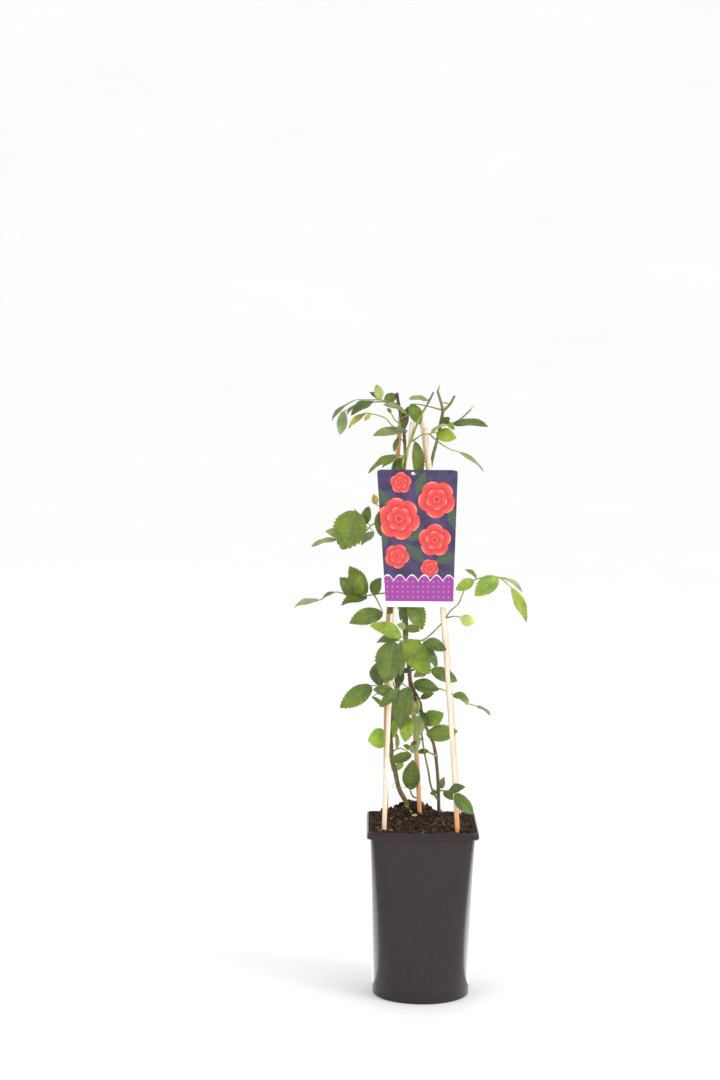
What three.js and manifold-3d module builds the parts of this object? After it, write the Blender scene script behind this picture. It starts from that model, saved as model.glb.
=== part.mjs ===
// A climbing rose in a nursery pot: charcoal pot, dark soil, five canes, a picture card and the rose.
// Millimetres, +Z up, origin at the middle of the pot's underside, the card's side towards -Y.

import * as THREE from 'three';
import { mergeVertices } from 'three/addons/utils/BufferGeometryUtils.js';
import Module from 'manifold-3d';

const wasm = await Module();
wasm.setup();

// Driving dimensions of the pot
const POT_HEIGHT = 216;
const LIP_HALF = 69.1;
const LIP_HEIGHT = 8.5;
const LIP_OVERHANG = 4.5;
const LIP_CORNER = 9;
const LIP_LEAN = 0.8;
const LIP_WALL = 2.2;
const LEDGE_THICKNESS = 2;
const FOOT_RADIUS = 60;
const WALL = 1.8;
const FLOOR = 2.4;
const LEDGE_LEVEL = POT_HEIGHT - LIP_HEIGHT + LEDGE_THICKNESS;
const DRAIN_RADIUS = 5;
const DRAIN_CIRCLE = 38;
const DRAIN_COUNT = 4;
const POT_POINTS = 48;
const CORNER_PULL = 0.2;
const POT_LEVELS = 4;
const DRAIN_SIDES = 12;

// Clearance between neighbouring pieces, and how close two points are one
const CLEARANCE = 0.3;
const MERGE_DISTANCE = 0.001;

// Driving dimensions of the soil
const SOIL_LEVEL = 214;
const SOIL_GAP = 0.5;
const SOIL_RINGS = 6;
const MOUND_HEIGHT = 23;
const MOUND_CENTRE = { x: -12, y: 18 };
const MOUND_SPREAD = { x: 22, y: 24 };
const HOLE_DEPTH = 45;
const SOIL_EDGE_DROP = 2;
const CLOD_WAVE = { across: 0.31, acrossPhase: 1.3, away: 0.27, awayPhase: 0.4, height: 0.9 };
const CLOD_RIPPLE = { across: 0.83, away: 0.61, height: 0.72 };
const WALL_LEVELLING = 6;

// Driving dimensions of the canes: foot at the soil, top end, and how far each bows sideways
const CANE_RADIUS = 3;
const CANE_SIDES = 8;
const CANE_STEPS = 7;
const CANE_SLOPE = 37 / 502;
const CANES = {
  cane_front_left: { foot: [-47.7, -50, 213], top: [-17, -13, 715], bow: -5.2 },
  cane_front_right: { foot: [42.6, -50, 213], top: [-1, -13.5, 708], bow: 3.2 },
  cane_back_left: { foot: [-44, 48, 213], top: [-30.4, 8, 727], bow: -6.6 },
  cane_back_right: { foot: [48.2, 48, 213], top: [-6, 8, 724], bow: 5.6 },
  cane_centre: { foot: [-2.4, -5, 213], top: [-19.9, 6, 426], bow: 2.1 },
};

// Driving dimensions of the card, which leans on the two front canes
const CARD_HEIGHT = 168;
const CARD_TOP_WIDTH = 99;
const CARD_BOTTOM_WIDTH = 82;
const CARD_CORNER = 4;
const CARD_THICKNESS = 0.8;
const CARD_MIDDLE = { x: -8.5, z: 574 };
const CARD_SHIFT = 4;
const SLOT = { x: -4.5, drop: 4.5, width: 10, height: 3.4 };
const CARD_CURVE_STEPS = 5;

// The rose is drawn as it is seen from in front: x and z are read on the upright plane through the
// pot's axis, y is the depth, and place() moves the point along the line of sight to that depth.
const EYE = new THREE.Vector3(-80, -3134, 868);

// Driving dimensions of the leaves
const BLADE_THICKNESS = 0.7;
const BLADE_FOLD = 0.26;
const BLADE_ARCH = 0.07;
const BLADE_FULLNESS = { base: 0.58, tip: 0.8 };
const WIDEST_SHIFT = 0.85;
const TOOTH_PITCH = 9.5;
const TOOTH_COUNT = { fewest: 2, most: 4 };
const TOOTH_REACH = 1.08;
const TOOTH_PLACE = 0.7;
const NOTCH_REACH = 0.9;
const NECK_HALF = 0.6;
const STALK_RADIUS = { root: 1.2, end: 0.9 };
const STALK_SIDES = 3;
const ROOTING = 0.3;

// Thorns
const THORN = { radius: 1.1, length: 3, sides: 4, lean: -0.3 };
const GOLDEN_ANGLE = 2.4;

// Stems, twigs and buds
const STEM_SIDES = 7;
const TWIG_SIDES = 6;
const BUD = { sides: 5, steps: 3, tip: 0.3 };
const STRAIGHT_FOOT = 12;
const HOLE_SIDES = 10;
const HOLE_FLARE = 0.6;

// Fronds at the back: how far the stalk sags, places of its points, and its three leaflets
const FROND_DROOP = 0.25;
const FROND_PLACES = [0, 0.35, 0.7, 1];
const FROND_STEPS = 4;
const FROND_DIP = 0.5;
const FROND_WIDTH = 0.62;
const FROND_SIDES = { right: 0.72, left: 0.9 };
const FROND_FORWARD = 0.35;

// Main stems: route above the soil as seen from in front, radius at foot and top
const RIGHT_STEM = {
  route: [
    [21, 25, 221], [20, 22, 259], [18, 18, 286], [15, 14, 308], [11, 8, 322], [1, 0, 342], [-6, -6, 370],
    [-15, -10, 389], [-19, -14, 420], [-23, -14, 445], [-26, -13, 486], [-26, -10, 569], [-25, -6, 657],
    [-27, -3, 702], [-33, -4, 732], [-36, -4, 751],
  ],
  radius: [2.2, 1.8],
  buried: 60,
  steps: 30,
  thorns: 7,
  thorny: [0.12, 0.95],
};
const LEFT_STEM = {
  route: [
    [-18, 5, 236], [-29, 0, 258], [-34, -4, 279], [-38, -8, 294], [-40, -12, 313], [-39, -13, 347],
    [-34, -10, 376], [-27, -6, 407], [-22, -5, 445], [-22, -4, 486], [-17, -3, 545], [-5, -3, 607],
    [6, -3, 659], [10, -2, 678], [14, 0, 693], [18, 0, 713], [21, 0, 731],
  ],
  radius: [3.2, 1.9],
  buried: 60,
  steps: 30,
  thorns: 7,
  thorny: [0.12, 0.92],
};
const BASAL_SHOOT = {
  route: [[2, 12, 238], [-3, 9, 244], [-11, 5, 248], [-15, -9, 257]],
  radius: [1.3, 0.9],
  buried: 30,
  steps: 8,
  thorns: 0,
  thorny: [0, 1],
};

// Side twigs
const RIGHT_TWIGS = [
  {
    route: [
      [-25, -6, 639], [-27, -10, 651], [-28, -16, 661], [-27, -20, 670], [-24, -22, 678], [-20, -22, 688],
      [-16, -20, 699], [-12, -17, 710], [-7, -14, 722], [1, -10, 736], [9, -7, 752],
    ],
    radius: [1.6, 1.2],
  },
  {
    route: [
      [21, 23, 243], [16, 20, 250], [11, 18, 261], [7, 12, 282], [3, 8, 300], [-1, 0, 325], [-4, -8, 355],
    ],
    radius: [1.45, 1],
  },
  { route: [[-10, -8, 377], [-8, -7, 367], [-2, -4, 355]], radius: [2.5, 2.2] },
];
const LEFT_TWIGS = [
  { route: [[21, 0, 729], [18, 0, 740], [14, 0, 753]], radius: [1.7, 1.5] },
  { route: [[21, 0, 729], [29, 0, 737], [35, 0, 748]], radius: [1.7, 1.5] },
  { route: [[18, 0, 739], [24, 2, 739], [29, 0, 737]], radius: [0.9, 0.8] },
  { route: [[19, 0, 714], [30, 5, 713], [42, 6, 719], [56, 6, 732]], radius: [1.1, 0.9] },
  { route: [[-21, 5, 237], [-17, -3, 233], [-13, -11, 228]], radius: [1.2, 0.8] },
];

// Buds at the ends of twigs: root, tip and radius
const LEFT_BUDS = [
  [[14, 0, 752], [17, 0, 761], 1.5],
  [[55, 6, 731], [59, 6, 737], 1.4],
];

// Fronds: root on the stem, heading and rise in degrees, length of the stalk and of a leaflet
const RIGHT_FRONDS = [
  { root: [-26, -10, 569], heading: 88, rise: 12, length: 75, leaflet: 30 },
  { root: [1, 0, 342], heading: 100, rise: 5, length: 75, leaflet: 27 },
];
const LEFT_FRONDS = [
  { root: [-5, -3, 607], heading: 80, rise: 10, length: 72, leaflet: 30 },
  { root: [-34, -10, 376], heading: 92, rise: 5, length: 80, leaflet: 27 },
];

// Leaves seen from in front: points of the stalk, then each leaflet's base, tip, width and how far its
// upper face is turned from the viewer towards the sky, in degrees
const RIGHT_LEAVES = {
  top_left_upper: {
    stalk: [[-35, -4, 737], [-44, -8, 740], [-57, -10, 742], [-68, -12, 742], [-86, -14, 742]],
    blades: [
      [[-86, -14, 742], [-117, -18, 718], 14, 78],
      [[-65, -12, 740], [-92, -30, 724], 16, 55],
      [[-57, -10, 742], [-61, -6, 761], 12, 15],
      [[-59, -10, 743], [-70, -2, 752], 11, 55],
      [[-51, -9, 741], [-36, -2, 748], 13, 30],
    ],
  },
  top_left_lower: {
    stalk: [[-33, -4, 732], [-47, 4, 739], [-68, 6, 739], [-86, 5, 736], [-101, 3, 727]],
    blades: [
      [[-101, 3, 728], [-106, 0, 699], 13, 15],
      [[-84, 5, 736], [-97, -6, 724], 10, 75],
    ],
  },
  top_grey: {
    stalk: [[-31, -4, 720], [-27, -11, 721], [-22, -16, 724]],
    blades: [
      [[-23, -16, 724], [-52, -24, 737], 14, 70],
    ],
  },
  top_dark_up: {
    stalk: [[-28, -3, 705], [-27, -6, 706]],
    blades: [
      [[-27, -6, 706], [-20, 1, 736], 11, 25],
    ],
  },
  top_buds: {
    stalk: [[-29, -4, 713], [-38, -12, 717], [-43, -14, 726]],
    blades: [
      [[-43, -14, 726], [-48, -14, 732], 5, 20],
    ],
  },
  top_young: {
    stalk: [[-28, -4, 705], [-41, -14, 710], [-49, -18, 719], [-59, -20, 723], [-73, -20, 726]],
    blades: [
      [[-73, -20, 726], [-96, -22, 707], 9, 50],
      [[-68, -20, 725], [-76, -20, 716], 5.5, 10],
    ],
  },
  top_wide: {
    stalk: [[-27, -3, 699], [-23, -8, 704]],
    blades: [
      [[-24, -8, 705], [-65, -12, 700], 16, 45],
    ],
  },
  top_hanging: {
    stalk: [[-27, -3, 692], [-33, -5, 695]],
    blades: [
      [[-34, -6, 696], [-39, -8, 678], 6, 20],
    ],
  },
  top_saw_edged: {
    stalk: [[-25, -5, 672], [-37, -8, 675]],
    blades: [
      [[-37, -8, 675], [-71, -14, 653], 15, 60],
      [[-36, -8, 673], [-54, -12, 659], 9, 40],
    ],
  },
  top_dark: {
    stalk: [[-25, -5, 668], [-28, -8, 670]],
    blades: [
      [[-27, -7, 671], [-41, 0, 650], 13, 20],
      [[-28, -8, 667], [-34, -16, 641], 10, 20],
    ],
  },
  shoot_leaf: {
    stalk: [[-19, -21, 691], [-15, -18, 692], [-13, -9, 691]],
    blades: [
      [[-13, -8, 691], [-8, -9, 643], 15, 10],
    ],
  },
  shoot_grey: {
    stalk: [[5, -7, 742], [2, -8, 743]],
    blades: [
      [[2, -8, 742], [-21, -16, 744], 12, 62],
    ],
  },
  shoot_lime: {
    stalk: [[-18, -21, 692], [-13, -22, 694], [-6, -23, 699], [5, -24, 701], [13, -24, 703]],
    blades: [
      [[6, -24, 702], [26, -30, 713], 12, 68],
      [[13, -24, 702], [37, -34, 696], 17, 15],
    ],
  },
  shoot_long: {
    stalk: [[4, -24, 701], [14, -22, 692], [30, -20, 682], [40, -20, 679]],
    blades: [
      [[40, -20, 679], [72, -24, 656], 10, 74],
    ],
  },
  bright_pair: {
    stalk: [[-23, -14, 450], [-26, -28, 449], [-28, -40, 449]],
    blades: [
      [[-28, -40, 449], [-66, -50, 463], 18, 15],
      [[-29, -39, 447], [-59, -32, 442], 12, 40],
    ],
  },
  great: {
    stalk: [[-23, -14, 441], [-29, -30, 444], [-37, -42, 443]],
    blades: [
      [[-37, -42, 443], [-46, -54, 391], 35, 5],
      [[-28, -30, 443], [-29, -20, 400], 14, 25],
    ],
  },
  great_light: {
    stalk: [[-22, -14, 445], [-23, -26, 445]],
    blades: [
      [[-23, -26, 445], [7, -38, 403], 30, 8],
    ],
  },
  middle_dark: {
    stalk: [[-22, -14, 444], [-10, -26, 445], [2, -36, 444]],
    blades: [
      [[2, -36, 444], [28, -46, 433], 15, 20],
      [[0, -35, 443], [17, -46, 410], 13, 30],
    ],
  },
  small_pair: {
    stalk: [[-24, -14, 460], [-22, -20, 461]],
    blades: [
      [[-22, -20, 461], [-33, -26, 464], 9, 20],
      [[-22, -20, 461], [-5, -26, 457], 11, 20],
    ],
  },
  under_card: {
    stalk: [[-26, -13, 497], [-19, -17, 496]],
    blades: [
      [[-19, -17, 496], [-2, -21, 458], 22, 10],
      [[-24, -15, 497], [-29, -20, 469], 8, 20],
      [[-27, -12, 497], [-46, -6, 477], 12, 20],
    ],
  },
  right_spray: {
    stalk: [[-21, -14, 436], [-11, -16, 443], [-1, -16, 445], [21, -12, 465], [33, -14, 482],
      [42, -16, 490], [46, -18, 499], [49, -19, 507], [55, -20, 515], [63, -21, 521], [76, -22, 524],
      [91, -24, 524], [108, -28, 511]],
    blades: [
      [[61, -21, 520], [39, -27, 508], 14, 10],
      [[91, -24, 523], [63, -34, 501], 22, 10],
      [[64, -20, 523], [50, -12, 534], 10, 65],
      [[92, -24, 524], [122, -16, 507], 13, 72],
      [[108, -28, 511], [128, -32, 469], 14, 30],
    ],
  },
  spray_round: {
    stalk: [[28, -13, 473], [38, -14, 475], [45, -15, 474]],
    blades: [
      [[45, -15, 473], [63, -18, 468], 14, 10],
    ],
  },
  right_dark: {
    stalk: [[-15, -10, 389], [-12, -16, 391]],
    blades: [
      [[-12, -16, 391], [19, -28, 383], 18, 20],
    ],
  },
  middle_grey: {
    stalk: [[-17, -12, 406], [-9, -18, 408], [1, -22, 408]],
    blades: [
      [[4, -24, 408], [-12, -30, 399], 13, 35],
      [[-18, -16, 409], [-25, -21, 404], 7, 30],
    ],
  },
  right_behind: {
    stalk: [[-17, -12, 407], [-4, -14, 410], [9, -14, 408]],
    blades: [
      [[9, -14, 408], [42, -12, 394], 17, 15],
    ],
  },
  right_small: {
    stalk: [[-6, -6, 370], [-3, -9, 373]],
    blades: [
      [[-3, -8, 372], [13, -14, 379], 9, 30],
    ],
  },
  right_long: {
    stalk: [[-12, -9, 384], [2, -16, 386], [18, -18, 385], [37, -16, 377], [56, -18, 366],
      [66, -20, 363]],
    blades: [
      [[37, -16, 377], [57, -24, 369], 14, 55],
      [[42, -16, 375], [57, 2, 365], 10, 60],
      [[66, -20, 363], [84, -24, 352], 10, 74],
    ],
  },
  centre_dark: {
    stalk: [[-7, -7, 374], [-7, -14, 372]],
    blades: [
      [[-7, -14, 372], [-2, -17, 357], 7, 20],
    ],
  },
  centre_pale: {
    stalk: [[-9, -8, 376], [-8, -16, 371]],
    blades: [
      [[-6, -16, 370], [-11, -20, 350], 10, 25],
    ],
  },
  centre_hanging: {
    stalk: [[-3, -4, 362], [-6, -14, 355], [-6, -17, 350]],
    blades: [
      [[-7, -17, 350], [-7, -21, 323], 17, 15],
    ],
  },
  right_round: {
    stalk: [[-2, -3, 355], [3, -12, 345]],
    blades: [
      [[3, -12, 344], [25, -20, 353], 21, 5],
      [[-3, -10, 354], [11, -13, 337], 13, 25],
    ],
  },
  right_low: {
    stalk: [[2, 1, 341], [5, -6, 332], [5, -10, 326]],
    blades: [
      [[5, -11, 326], [43, -14, 331], 21, 10],
    ],
  },
  fork_leaves: {
    stalk: [[17, 13, 300], [10, 11, 303], [7, 10, 306]],
    blades: [
      [[7, 9, 306], [-7, 5, 304], 7.5, 35],
    ],
  },
  grey_cluster: {
    stalk: [[-1, 1, 322], [-5, -5, 317], [-6, -9, 310], [-11, -12, 306], [-16, -14, 308]],
    blades: [
      [[-8, -11, 305], [-18, -15, 311], 10, 25],
      [[-6, -9, 311], [-7, -13, 327], 6, 30],
      [[-9, -9, 318], [-15, -13, 311], 5, 30],
      [[-16, -14, 308], [-24, -17, 313], 6.5, 25],
    ],
  },
  thin_shoot_leaf: {
    stalk: [[15, 20, 253], [17, 16, 255]],
    blades: [
      [[18, 16, 255], [10, 12, 252], 7.5, 20],
    ],
  },
  low_right: {
    stalk: [[20, 22, 256], [25, 5, 256], [30, -28, 256], [33, -52, 255], [41, -56, 252]],
    blades: [
      [[33, -52, 255], [53, -59, 261], 12, 45],
      [[28, -18, 256], [38, -32, 245], 12, 30],
      [[41, -56, 252], [64, -64, 227], 17, 15],
    ],
  },
  low_light: {
    stalk: [[20, 22, 256], [22, 17, 259]],
    blades: [
      [[23, 17, 259], [27, 12, 273], 9, 30],
    ],
  },
};

const LEFT_LEAVES = {
  round: {
    stalk: [[-11, -3, 573], [-26, 2, 581], [-41, 2, 585], [-54, 0, 592], [-65, -2, 588],
      [-75, -4, 578], [-92, -6, 571], [-108, -8, 569]],
    blades: [
      [[-85, -8, 605], [-102, -14, 557], 41, 5],
      [[-74, -4, 588], [-70, 0, 611], 13, 20],
      [[-96, -2, 571], [-123, 4, 580], 14, 30],
      [[-108, -8, 569], [-140, -14, 562], 12, 68],
      [[-63, -3, 579], [-79, -8, 563], 11, 30],
    ],
  },
  small_round: {
    stalk: [[-7, -3, 598], [-26, 2, 605], [-43, -2, 609], [-56, -6, 611], [-60, -6, 613]],
    blades: [
      [[-60, -6, 613], [-64, -8, 626], 8.5, 10],
    ],
  },
  beside_card: {
    stalk: [[-10, -3, 582], [-31, 0, 595], [-46, -8, 604], [-51, -13, 606]],
    blades: [
      [[-51, -14, 608], [-55, -16, 574], 20, 10],
    ],
  },
  left: {
    stalk: [[-21, -4, 495], [-30, 1, 500], [-40, 0, 502], [-51, -4, 503], [-70, -8, 500],
      [-86, -10, 499], [-99, -12, 502], [-110, -14, 504], [-129, -14, 494]],
    blades: [
      [[-72, -8, 501], [-92, 4, 537], 22, 10],
      [[-84, -12, 501], [-79, -20, 524], 17, 20],
      [[-87, -11, 500], [-104, -24, 522], 20, 20],
      [[-63, -8, 501], [-54, -14, 522], 15, 20],
      [[-71, -9, 498], [-102, -28, 489], 17, 55],
      [[-110, -14, 504], [-128, -16, 494], 12, 78],
      [[-130, -14, 494], [-161, -20, 485], 13, 60],
    ],
  },
  dome: {
    stalk: [[-62, -7, 501], [-56, -10, 490], [-51, -12, 479]],
    blades: [
      [[-51, -12, 478], [-92, -22, 466], 21, 10],
    ],
  },
  inner_dark: {
    stalk: [[-26, -6, 405], [-27, -8, 409]],
    blades: [
      [[-27, -8, 408], [-33, -9, 385], 12, 15],
    ],
  },
  low_lime: {
    stalk: [[-35, -7, 285], [-29, -7, 290], [-25, -6, 292]],
    blades: [
      [[-25, -6, 292], [-31, -8, 281], 9, 20],
    ],
  },
  tucked: {
    stalk: [[-33, -10, 379], [-40, -16, 397], [-48, -20, 412], [-53, -22, 418]],
    blades: [
      [[-53, -22, 418], [-54, -26, 386], 23, 10],
    ],
  },
  far_left: {
    stalk: [[-36, -11, 370], [-49, -20, 385], [-64, -28, 388]],
    blades: [
      [[-64, -28, 387], [-103, -36, 360], 23, 10],
    ],
  },
  near_front: {
    stalk: [[-32, -9, 382], [-29, -30, 385], [-33, -46, 384]],
    blades: [
      [[-33, -47, 383], [-54, -54, 361], 13, 10],
    ],
  },
  bright_sliver: {
    stalk: [[-39, -13, 350], [-44, -22, 357], [-49, -27, 361]],
    blades: [
      [[-49, -27, 361], [-64, -26, 374], 6, 30],
    ],
  },
  centre_great: {
    stalk: [[-30, -8, 392], [-24, -22, 389], [-19, -28, 386]],
    blades: [
      [[-19, -28, 386], [-28, -40, 333], 25, 8],
    ],
  },
  centre_lower: {
    stalk: [[-39, -13, 355], [-29, -20, 358], [-19, -30, 350]],
    blades: [
      [[-19, -30, 350], [-22, -34, 317], 18, 10],
    ],
  },
  centre_light: {
    stalk: [[-39, -13, 352], [-32, -18, 350]],
    blades: [
      [[-32, -18, 350], [-36, -21, 322], 9, 30],
    ],
  },
  left_round: {
    stalk: [[-40, -12, 313], [-42, -24, 322], [-43, -30, 324]],
    blades: [
      [[-43, -31, 324], [-68, -36, 318], 25, 5],
    ],
  },
  low_level: {
    stalk: [[-39, -10, 304], [-28, -18, 309], [-14, -22, 302]],
    blades: [
      [[-14, -22, 301], [-41, -26, 292], 14, 30],
    ],
  },
  low_narrow: {
    stalk: [[-40, -12, 326], [-33, -18, 329]],
    blades: [
      [[-33, -18, 328], [-32, -21, 308], 6.5, 35],
    ],
  },
  top_right_hanging: {
    stalk: [[20, 0, 730], [5, -2, 734], [-10, -4, 737], [-19, -6, 737]],
    blades: [
      [[-19, -6, 737], [-7, -8, 712], 16, 10],
    ],
  },
  top_right_great: {
    stalk: [[19, 0, 717], [26, -8, 716], [34, -12, 713]],
    blades: [
      [[34, -12, 713], [76, -20, 712], 16, 50],
      [[26, -9, 715], [35, -13, 706], 7, 10],
    ],
  },
  top_right_dark: {
    stalk: [[18, 0, 712], [20, -5, 712]],
    blades: [
      [[20, -5, 712], [29, -10, 721], 11, 20],
    ],
  },
};

const BASAL_LEAVES = {
  upright: {
    stalk: [[-11, 5, 248], [-14, -3, 252], [-15, -9, 257]],
    blades: [
      [[-15, -9, 257], [-12, -14, 294], 22, 8],
    ],
  },
};

// Moves a point read on the upright plane through the axis to its own depth
function place([x, y, z]) {
  const reach = y / -EYE.y;
  return new THREE.Vector3(x + (x - EYE.x) * reach, y, z + (z - EYE.z) * reach);
}

// Turns a closed geometry into a solid that can be joined and cut
function toSolid(geometry) {
  const bare = geometry.index ? geometry.clone() : geometry;
  bare.deleteAttribute('normal');
  bare.deleteAttribute('uv');
  const merged = mergeVertices(bare, MERGE_DISTANCE);
  const mesh = new wasm.Mesh({
    numProp: 3,
    vertProperties: new Float32Array(merged.attributes.position.array),
    triVerts: new Uint32Array(merged.index.array),
  });
  return new wasm.Manifold(mesh);
}

// Turns a solid back into a geometry
function toGeometry(solid) {
  const mesh = solid.getMesh();
  const geometry = new THREE.BufferGeometry();
  geometry.setAttribute('position', new THREE.BufferAttribute(new Float32Array(mesh.vertProperties), 3));
  geometry.setIndex(new THREE.BufferAttribute(new Uint32Array(mesh.triVerts), 1));
  geometry.computeVertexNormals();
  return geometry;
}

// Joins solids pair by pair until one is left
function fuse(solids) {
  let rest = solids;
  while (rest.length > 1) {
    const next = [];
    for (let i = 0; i < rest.length; i += 2) {
      next.push(i + 1 < rest.length ? rest[i].add(rest[i + 1]) : rest[i]);
    }
    rest = next;
  }
  return rest[0];
}

// The grown body alone: the sealed hollows between crossing leaflets are filled
function outerShell(solid) {
  return solid.decompose().reduce((best, shell) => (shell.volume() > best.volume() ? shell : best));
}

// Joins what grows together, then again after merging what lies within a micron
function grow(solids) {
  return toGeometry(outerShell(toSolid(toGeometry(outerShell(fuse(solids))))));
}

// Builds a geometry from points and triangles
function fromTriangles(points, triangles) {
  const geometry = new THREE.BufferGeometry().setFromPoints(points);
  geometry.setIndex(triangles);
  return geometry;
}

// Skins rings of equal length that run anticlockwise seen from the far end, and caps both ends
function loft(rings) {
  const count = rings[0].length;
  const points = rings.flat();
  const triangles = [];
  for (let k = 0; k + 1 < rings.length; k++) {
    for (let i = 0; i < count; i++) {
      const a = k * count + i;
      const b = k * count + ((i + 1) % count);
      triangles.push(a, b, b + count, a, b + count, a + count);
    }
  }
  const last = (rings.length - 1) * count;
  for (let i = 1; i + 1 < count; i++) {
    triangles.push(0, i + 1, i);
    triangles.push(last, last + i, last + i + 1);
  }
  return fromTriangles(points, triangles);
}

// Sweeps a round section along a smooth curve through the points, tapering from one radius to the other
function tube(points, startRadius, endRadius, sides, steps) {
  const curve = new THREE.CatmullRomCurve3(points, false, 'centripetal');
  const frames = curve.computeFrenetFrames(steps, false);
  const rings = [];
  for (let k = 0; k <= steps; k++) {
    const centre = curve.getPointAt(k / steps);
    const radius = THREE.MathUtils.lerp(startRadius, endRadius, k / steps);
    const ring = [];
    for (let i = 0; i < sides; i++) {
      const turn = (2 * Math.PI * i) / sides;
      ring.push(
        centre
          .clone()
          .addScaledVector(frames.normals[k], radius * Math.cos(turn))
          .addScaledVector(frames.binormals[k], radius * Math.sin(turn)),
      );
    }
    rings.push(ring);
  }
  return loft(rings);
}

// Distance from the axis to the edge of a square with round corners, in the direction of the angle
function squareReach(angle, half, corner) {
  const c = Math.abs(Math.cos(angle));
  const s = Math.abs(Math.sin(angle));
  const long = Math.max(c, s);
  const short = Math.min(c, s);
  const flat = half - corner;
  if ((half * short) / long <= flat) {
    return half / long;
  }
  const along = flat * (long + short);
  return along + Math.sqrt(along * along - 2 * flat * flat + corner * corner);
}

// One level of the pot: a round-cornered square that turns into a circle towards the foot
function potRing(z, inset) {
  const rise = z / POT_HEIGHT;
  const half = THREE.MathUtils.lerp(FOOT_RADIUS, LIP_HALF - LIP_OVERHANG, rise);
  const corner = THREE.MathUtils.lerp(FOOT_RADIUS, LIP_CORNER, rise);
  return squareRing(z, half - inset, corner - inset);
}

// Points round a square with round corners at one height, drawn together at sharp corners
function squareRing(z, half, corner) {
  const ring = [];
  const pull = CORNER_PULL * (1 - corner / half);
  for (let i = 0; i < POT_POINTS; i++) {
    const turn = (2 * Math.PI * i) / POT_POINTS;
    const angle = turn + pull * Math.sin(4 * turn);
    const reach = squareReach(angle, half, corner);
    ring.push(new THREE.Vector3(reach * Math.cos(angle), reach * Math.sin(angle), z));
  }
  return ring;
}

// Rings of the pot's section between two heights, at the same levels for every piece that follows it
function potRings(from, to, inset) {
  const rings = [potRing(from, inset)];
  for (let k = 1; k < POT_LEVELS; k++) {
    const z = (k * POT_HEIGHT) / POT_LEVELS;
    if (z > from && z < to) {
      rings.push(potRing(z, inset));
    }
  }
  rings.push(potRing(to, inset));
  return rings;
}

// Inner face of the lip, or a face inside it by the gap, which stands on the ledge
function lipMouth(z, gap) {
  const inset = LIP_LEAN + LIP_WALL + gap;
  return squareRing(z, LIP_HALF - inset, LIP_CORNER - LIP_WALL - gap);
}

// Pot: walls, a lip stepped out over a ledge and leaning in a little, flat floor with drain holes
function makePot() {
  const lipLevel = POT_HEIGHT - LIP_HEIGHT;
  const lipFoot = squareRing(lipLevel, LIP_HALF, LIP_CORNER);
  const lipTop = squareRing(POT_HEIGHT, LIP_HALF - LIP_LEAN, LIP_CORNER);
  const outside = loft([...potRings(0, lipLevel, 0), lipFoot, lipTop]);
  const mouth = [lipMouth(LEDGE_LEVEL, 0), lipMouth(POT_HEIGHT + 1, 0)];
  const inside = loft([...potRings(FLOOR, LEDGE_LEVEL, WALL), ...mouth]);
  let pot = toSolid(outside).subtract(toSolid(inside));
  for (let i = 0; i < DRAIN_COUNT; i++) {
    const angle = ((i + 0.5) * 2 * Math.PI) / DRAIN_COUNT;
    const drain = new THREE.CylinderGeometry(DRAIN_RADIUS, DRAIN_RADIUS, 3 * FLOOR, DRAIN_SIDES);
    drain.rotateX(Math.PI / 2);
    drain.translate(DRAIN_CIRCLE * Math.cos(angle), DRAIN_CIRCLE * Math.sin(angle), FLOOR / 2);
    pot = pot.subtract(toSolid(drain));
  }
  return toGeometry(pot);
}

// Height of the soil: a low mound round the stems and small clods, level at the wall
function soilHeight(x, y, nearWall) {
  const across = (x - MOUND_CENTRE.x) / MOUND_SPREAD.x;
  const away = (y - MOUND_CENTRE.y) / MOUND_SPREAD.y;
  const mound = MOUND_HEIGHT * Math.exp(-(across * across + away * away) / 2);
  const waveAcross = Math.sin(CLOD_WAVE.across * x + CLOD_WAVE.acrossPhase);
  const waveAway = Math.sin(CLOD_WAVE.away * y + CLOD_WAVE.awayPhase);
  const ripple = CLOD_RIPPLE.height * Math.sin(CLOD_RIPPLE.across * x + CLOD_RIPPLE.away * y);
  return SOIL_LEVEL + mound + (CLOD_WAVE.height * waveAcross * waveAway + ripple) * (1 - nearWall);
}

// Soil: fills the pot up into its lip, with a plain hole for every cane and stem
function makeSoil(holes) {
  const ledge = LEDGE_LEVEL + SOIL_GAP;
  const rings = potRings(FLOOR + CLEARANCE, ledge, WALL + SOIL_GAP);
  rings.push(lipMouth(ledge, SOIL_GAP), lipMouth(SOIL_LEVEL - SOIL_EDGE_DROP, SOIL_GAP));
  const edge = lipMouth(SOIL_LEVEL, SOIL_GAP);
  for (let k = 0; k < SOIL_RINGS; k++) {
    const share = 1 - k / SOIL_RINGS;
    const nearWall = Math.pow(share, WALL_LEVELLING);
    rings.push(
      edge.map((p) => {
        const x = p.x * share;
        const y = p.y * share;
        return new THREE.Vector3(x, y, soilHeight(x, y, nearWall));
      }),
    );
  }
  return toGeometry(toSolid(loft(rings)).subtract(fuse(holes.map(toSolid))));
}

// Points along a cane from its buried end to its top, bowed sideways between foot and top
function canePoints({ foot, top, bow }, buried) {
  const start = new THREE.Vector3(...foot);
  const end = new THREE.Vector3(...top);
  const points = [];
  for (let k = 0; k <= CANE_STEPS; k++) {
    const share = k / CANE_STEPS;
    points.push(start.clone().lerp(end, share).add(new THREE.Vector3(4 * bow * share * (1 - share), 0, 0)));
  }
  const slope = points[0].clone().sub(points[1]).normalize();
  points.unshift(points[0].clone().addScaledVector(slope, buried));
  return points;
}

// A cane, or the hole for it when it is made wider and longer by the clearance
function makeCane(cane, widening) {
  const radius = CANE_RADIUS + widening;
  return tube(canePoints(cane, HOLE_DEPTH + widening), radius, radius, CANE_SIDES, CANE_STEPS + 2);
}

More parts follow.
